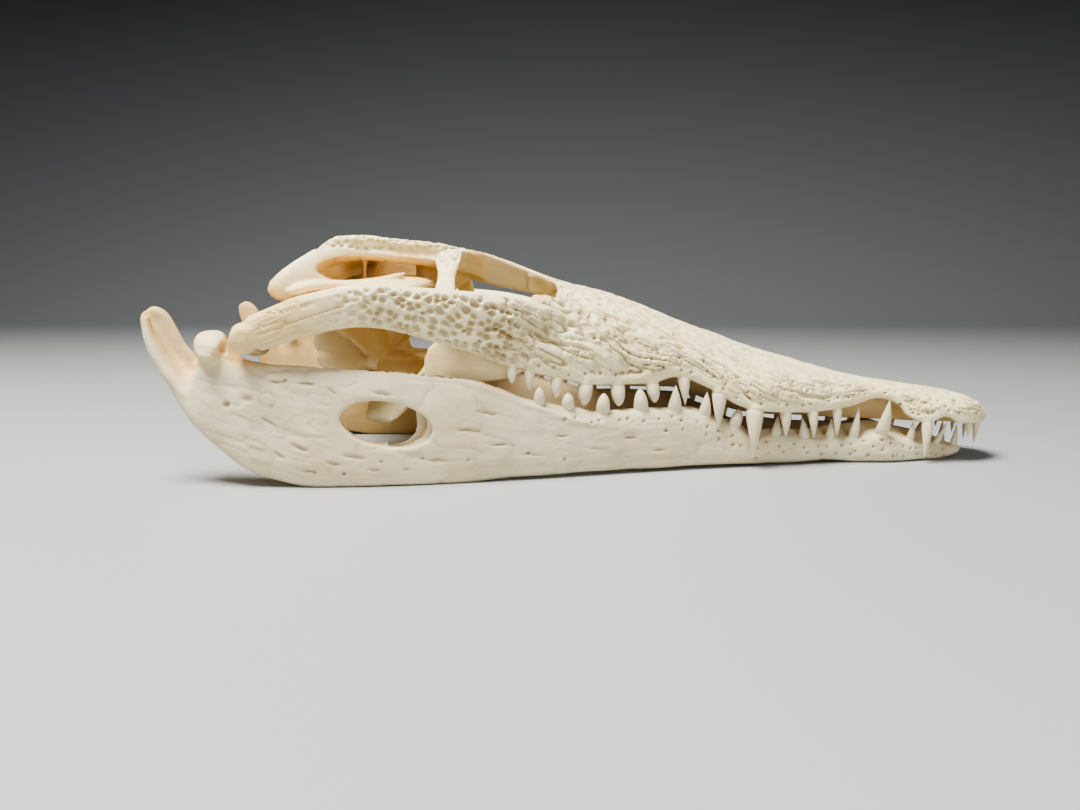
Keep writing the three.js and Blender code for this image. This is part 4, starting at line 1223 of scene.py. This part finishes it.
def thin_out(piece):
    """Keeps the mesh of a large piece within the limit, with the finest faces where it bends."""
    activate(piece)
    apply_modifier(piece, "TRIANGULATE")
    count = len(piece.data.polygons)
    if count > MOST_TRIANGLES:
        place, _ = read_surface(piece)
        clear = np.flatnonzero(LENGTH / 2 - place[:, 0] / MM < REAR_CUT - SEAM_MARGIN)
        piece.vertex_groups.new(name="clear").add(clear.tolist(), 1, "REPLACE")
        apply_modifier(piece, "DECIMATE", ratio=MOST_TRIANGLES / count, vertex_group="clear")


def shade(piece):
    activate(piece)
    bpy.ops.object.shade_smooth_by_angle(angle=math.radians(55))


def finish_piece(piece, name, material, teeth, enamel):
    """Gives a piece its name, finish and teeth, and sets it on its body."""
    thin_out(piece)
    piece.data.materials.clear()
    piece.data.materials.append(material)
    shade(piece)
    keep_facing(piece)
    if teeth:
        crowns = joined(solids(teeth))
        crowns.data.materials.append(enamel)
        shade(crowns)
        piece = joined([piece, crowns])
    piece.name = name + "_bone"
    piece.data.name = piece.name
    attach(piece, "root")
    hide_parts(name)


def build_skull():
    bone = bone_finish("cream_bone", (0.91, 0.84, 0.55, 1), (0.77, 0.675, 0.41, 1))
    jaw_bone = bone_finish("jaw_bone", (0.79, 0.73, 0.52, 1), (0.62, 0.56, 0.385, 1))
    enamel = enamel_finish()
    cranium = build_cranium()
    sculpt(cranium, cranium_relief)
    whole_surface = surface_tree(cranium)
    for name, piece in part_cranium(cranium).items():
        mend_edges(piece, whole_surface)
        teeth = []
        for row in UPPER_TEETH:
            for side, label in ((-1, "right"), (1, "left")):
                home = "snout" if row[0] < REAR_CUT else "cheek_" + label
                if home == name:
                    teeth.append(tooth(side, row, UPPER_LEAN))
        finish_piece(piece, name, bone, teeth, enamel)
    for side, label in ((-1, "right"), (1, "left")):
        jaw = build_jaw(side)
        sculpt(jaw, jaw_relief, side)
        teeth = [tooth(side, row, lower_lean(index)) for index, row in enumerate(LOWER_TEETH)]
        finish_piece(jaw, "lower_jaw_" + label, jaw_bone, teeth, enamel)


def build_stage():
    """A sheet of paper that lies on the floor and curves up behind."""
    turn = np.linspace(0, math.pi / 2, 16)
    sweep = [(-1.6, 0)] + [(1.1 + 0.9 * math.sin(a), 0.9 - 0.9 * math.cos(a)) for a in turn] + [(2.0, 2.6)]
    deselect()
    bpy.ops.mesh.primitive_plane_add(size=1)
    paper = bpy.context.object
    paper.name = "backdrop"
    bpy.ops.object.mode_set(mode="EDIT")
    form = bmesh.from_edit_mesh(paper.data)
    bmesh.ops.delete(form, geom=form.verts[:], context="VERTS")
    low = [form.verts.new((-3, y, z)) for y, z in sweep]
    high = [form.verts.new((3, y, z)) for y, z in sweep]
    for k in range(len(sweep) - 1):
        form.faces.new((low[k], high[k], high[k + 1], low[k + 1]))
    bmesh.update_edit_mesh(paper.data)
    bpy.ops.object.mode_set(mode="OBJECT")
    bpy.ops.object.shade_smooth()
    paper.data.materials.append(backdrop_finish())
    world = bpy.data.worlds.new("studio")
    bpy.context.scene.world = world
    world.use_nodes = True
    world.node_tree.nodes["Background"].inputs["Color"].default_value = (0.62, 0.63, 0.65, 1)
    world.node_tree.nodes["Background"].inputs["Strength"].default_value = 0.25


build_skull()
build_stage()
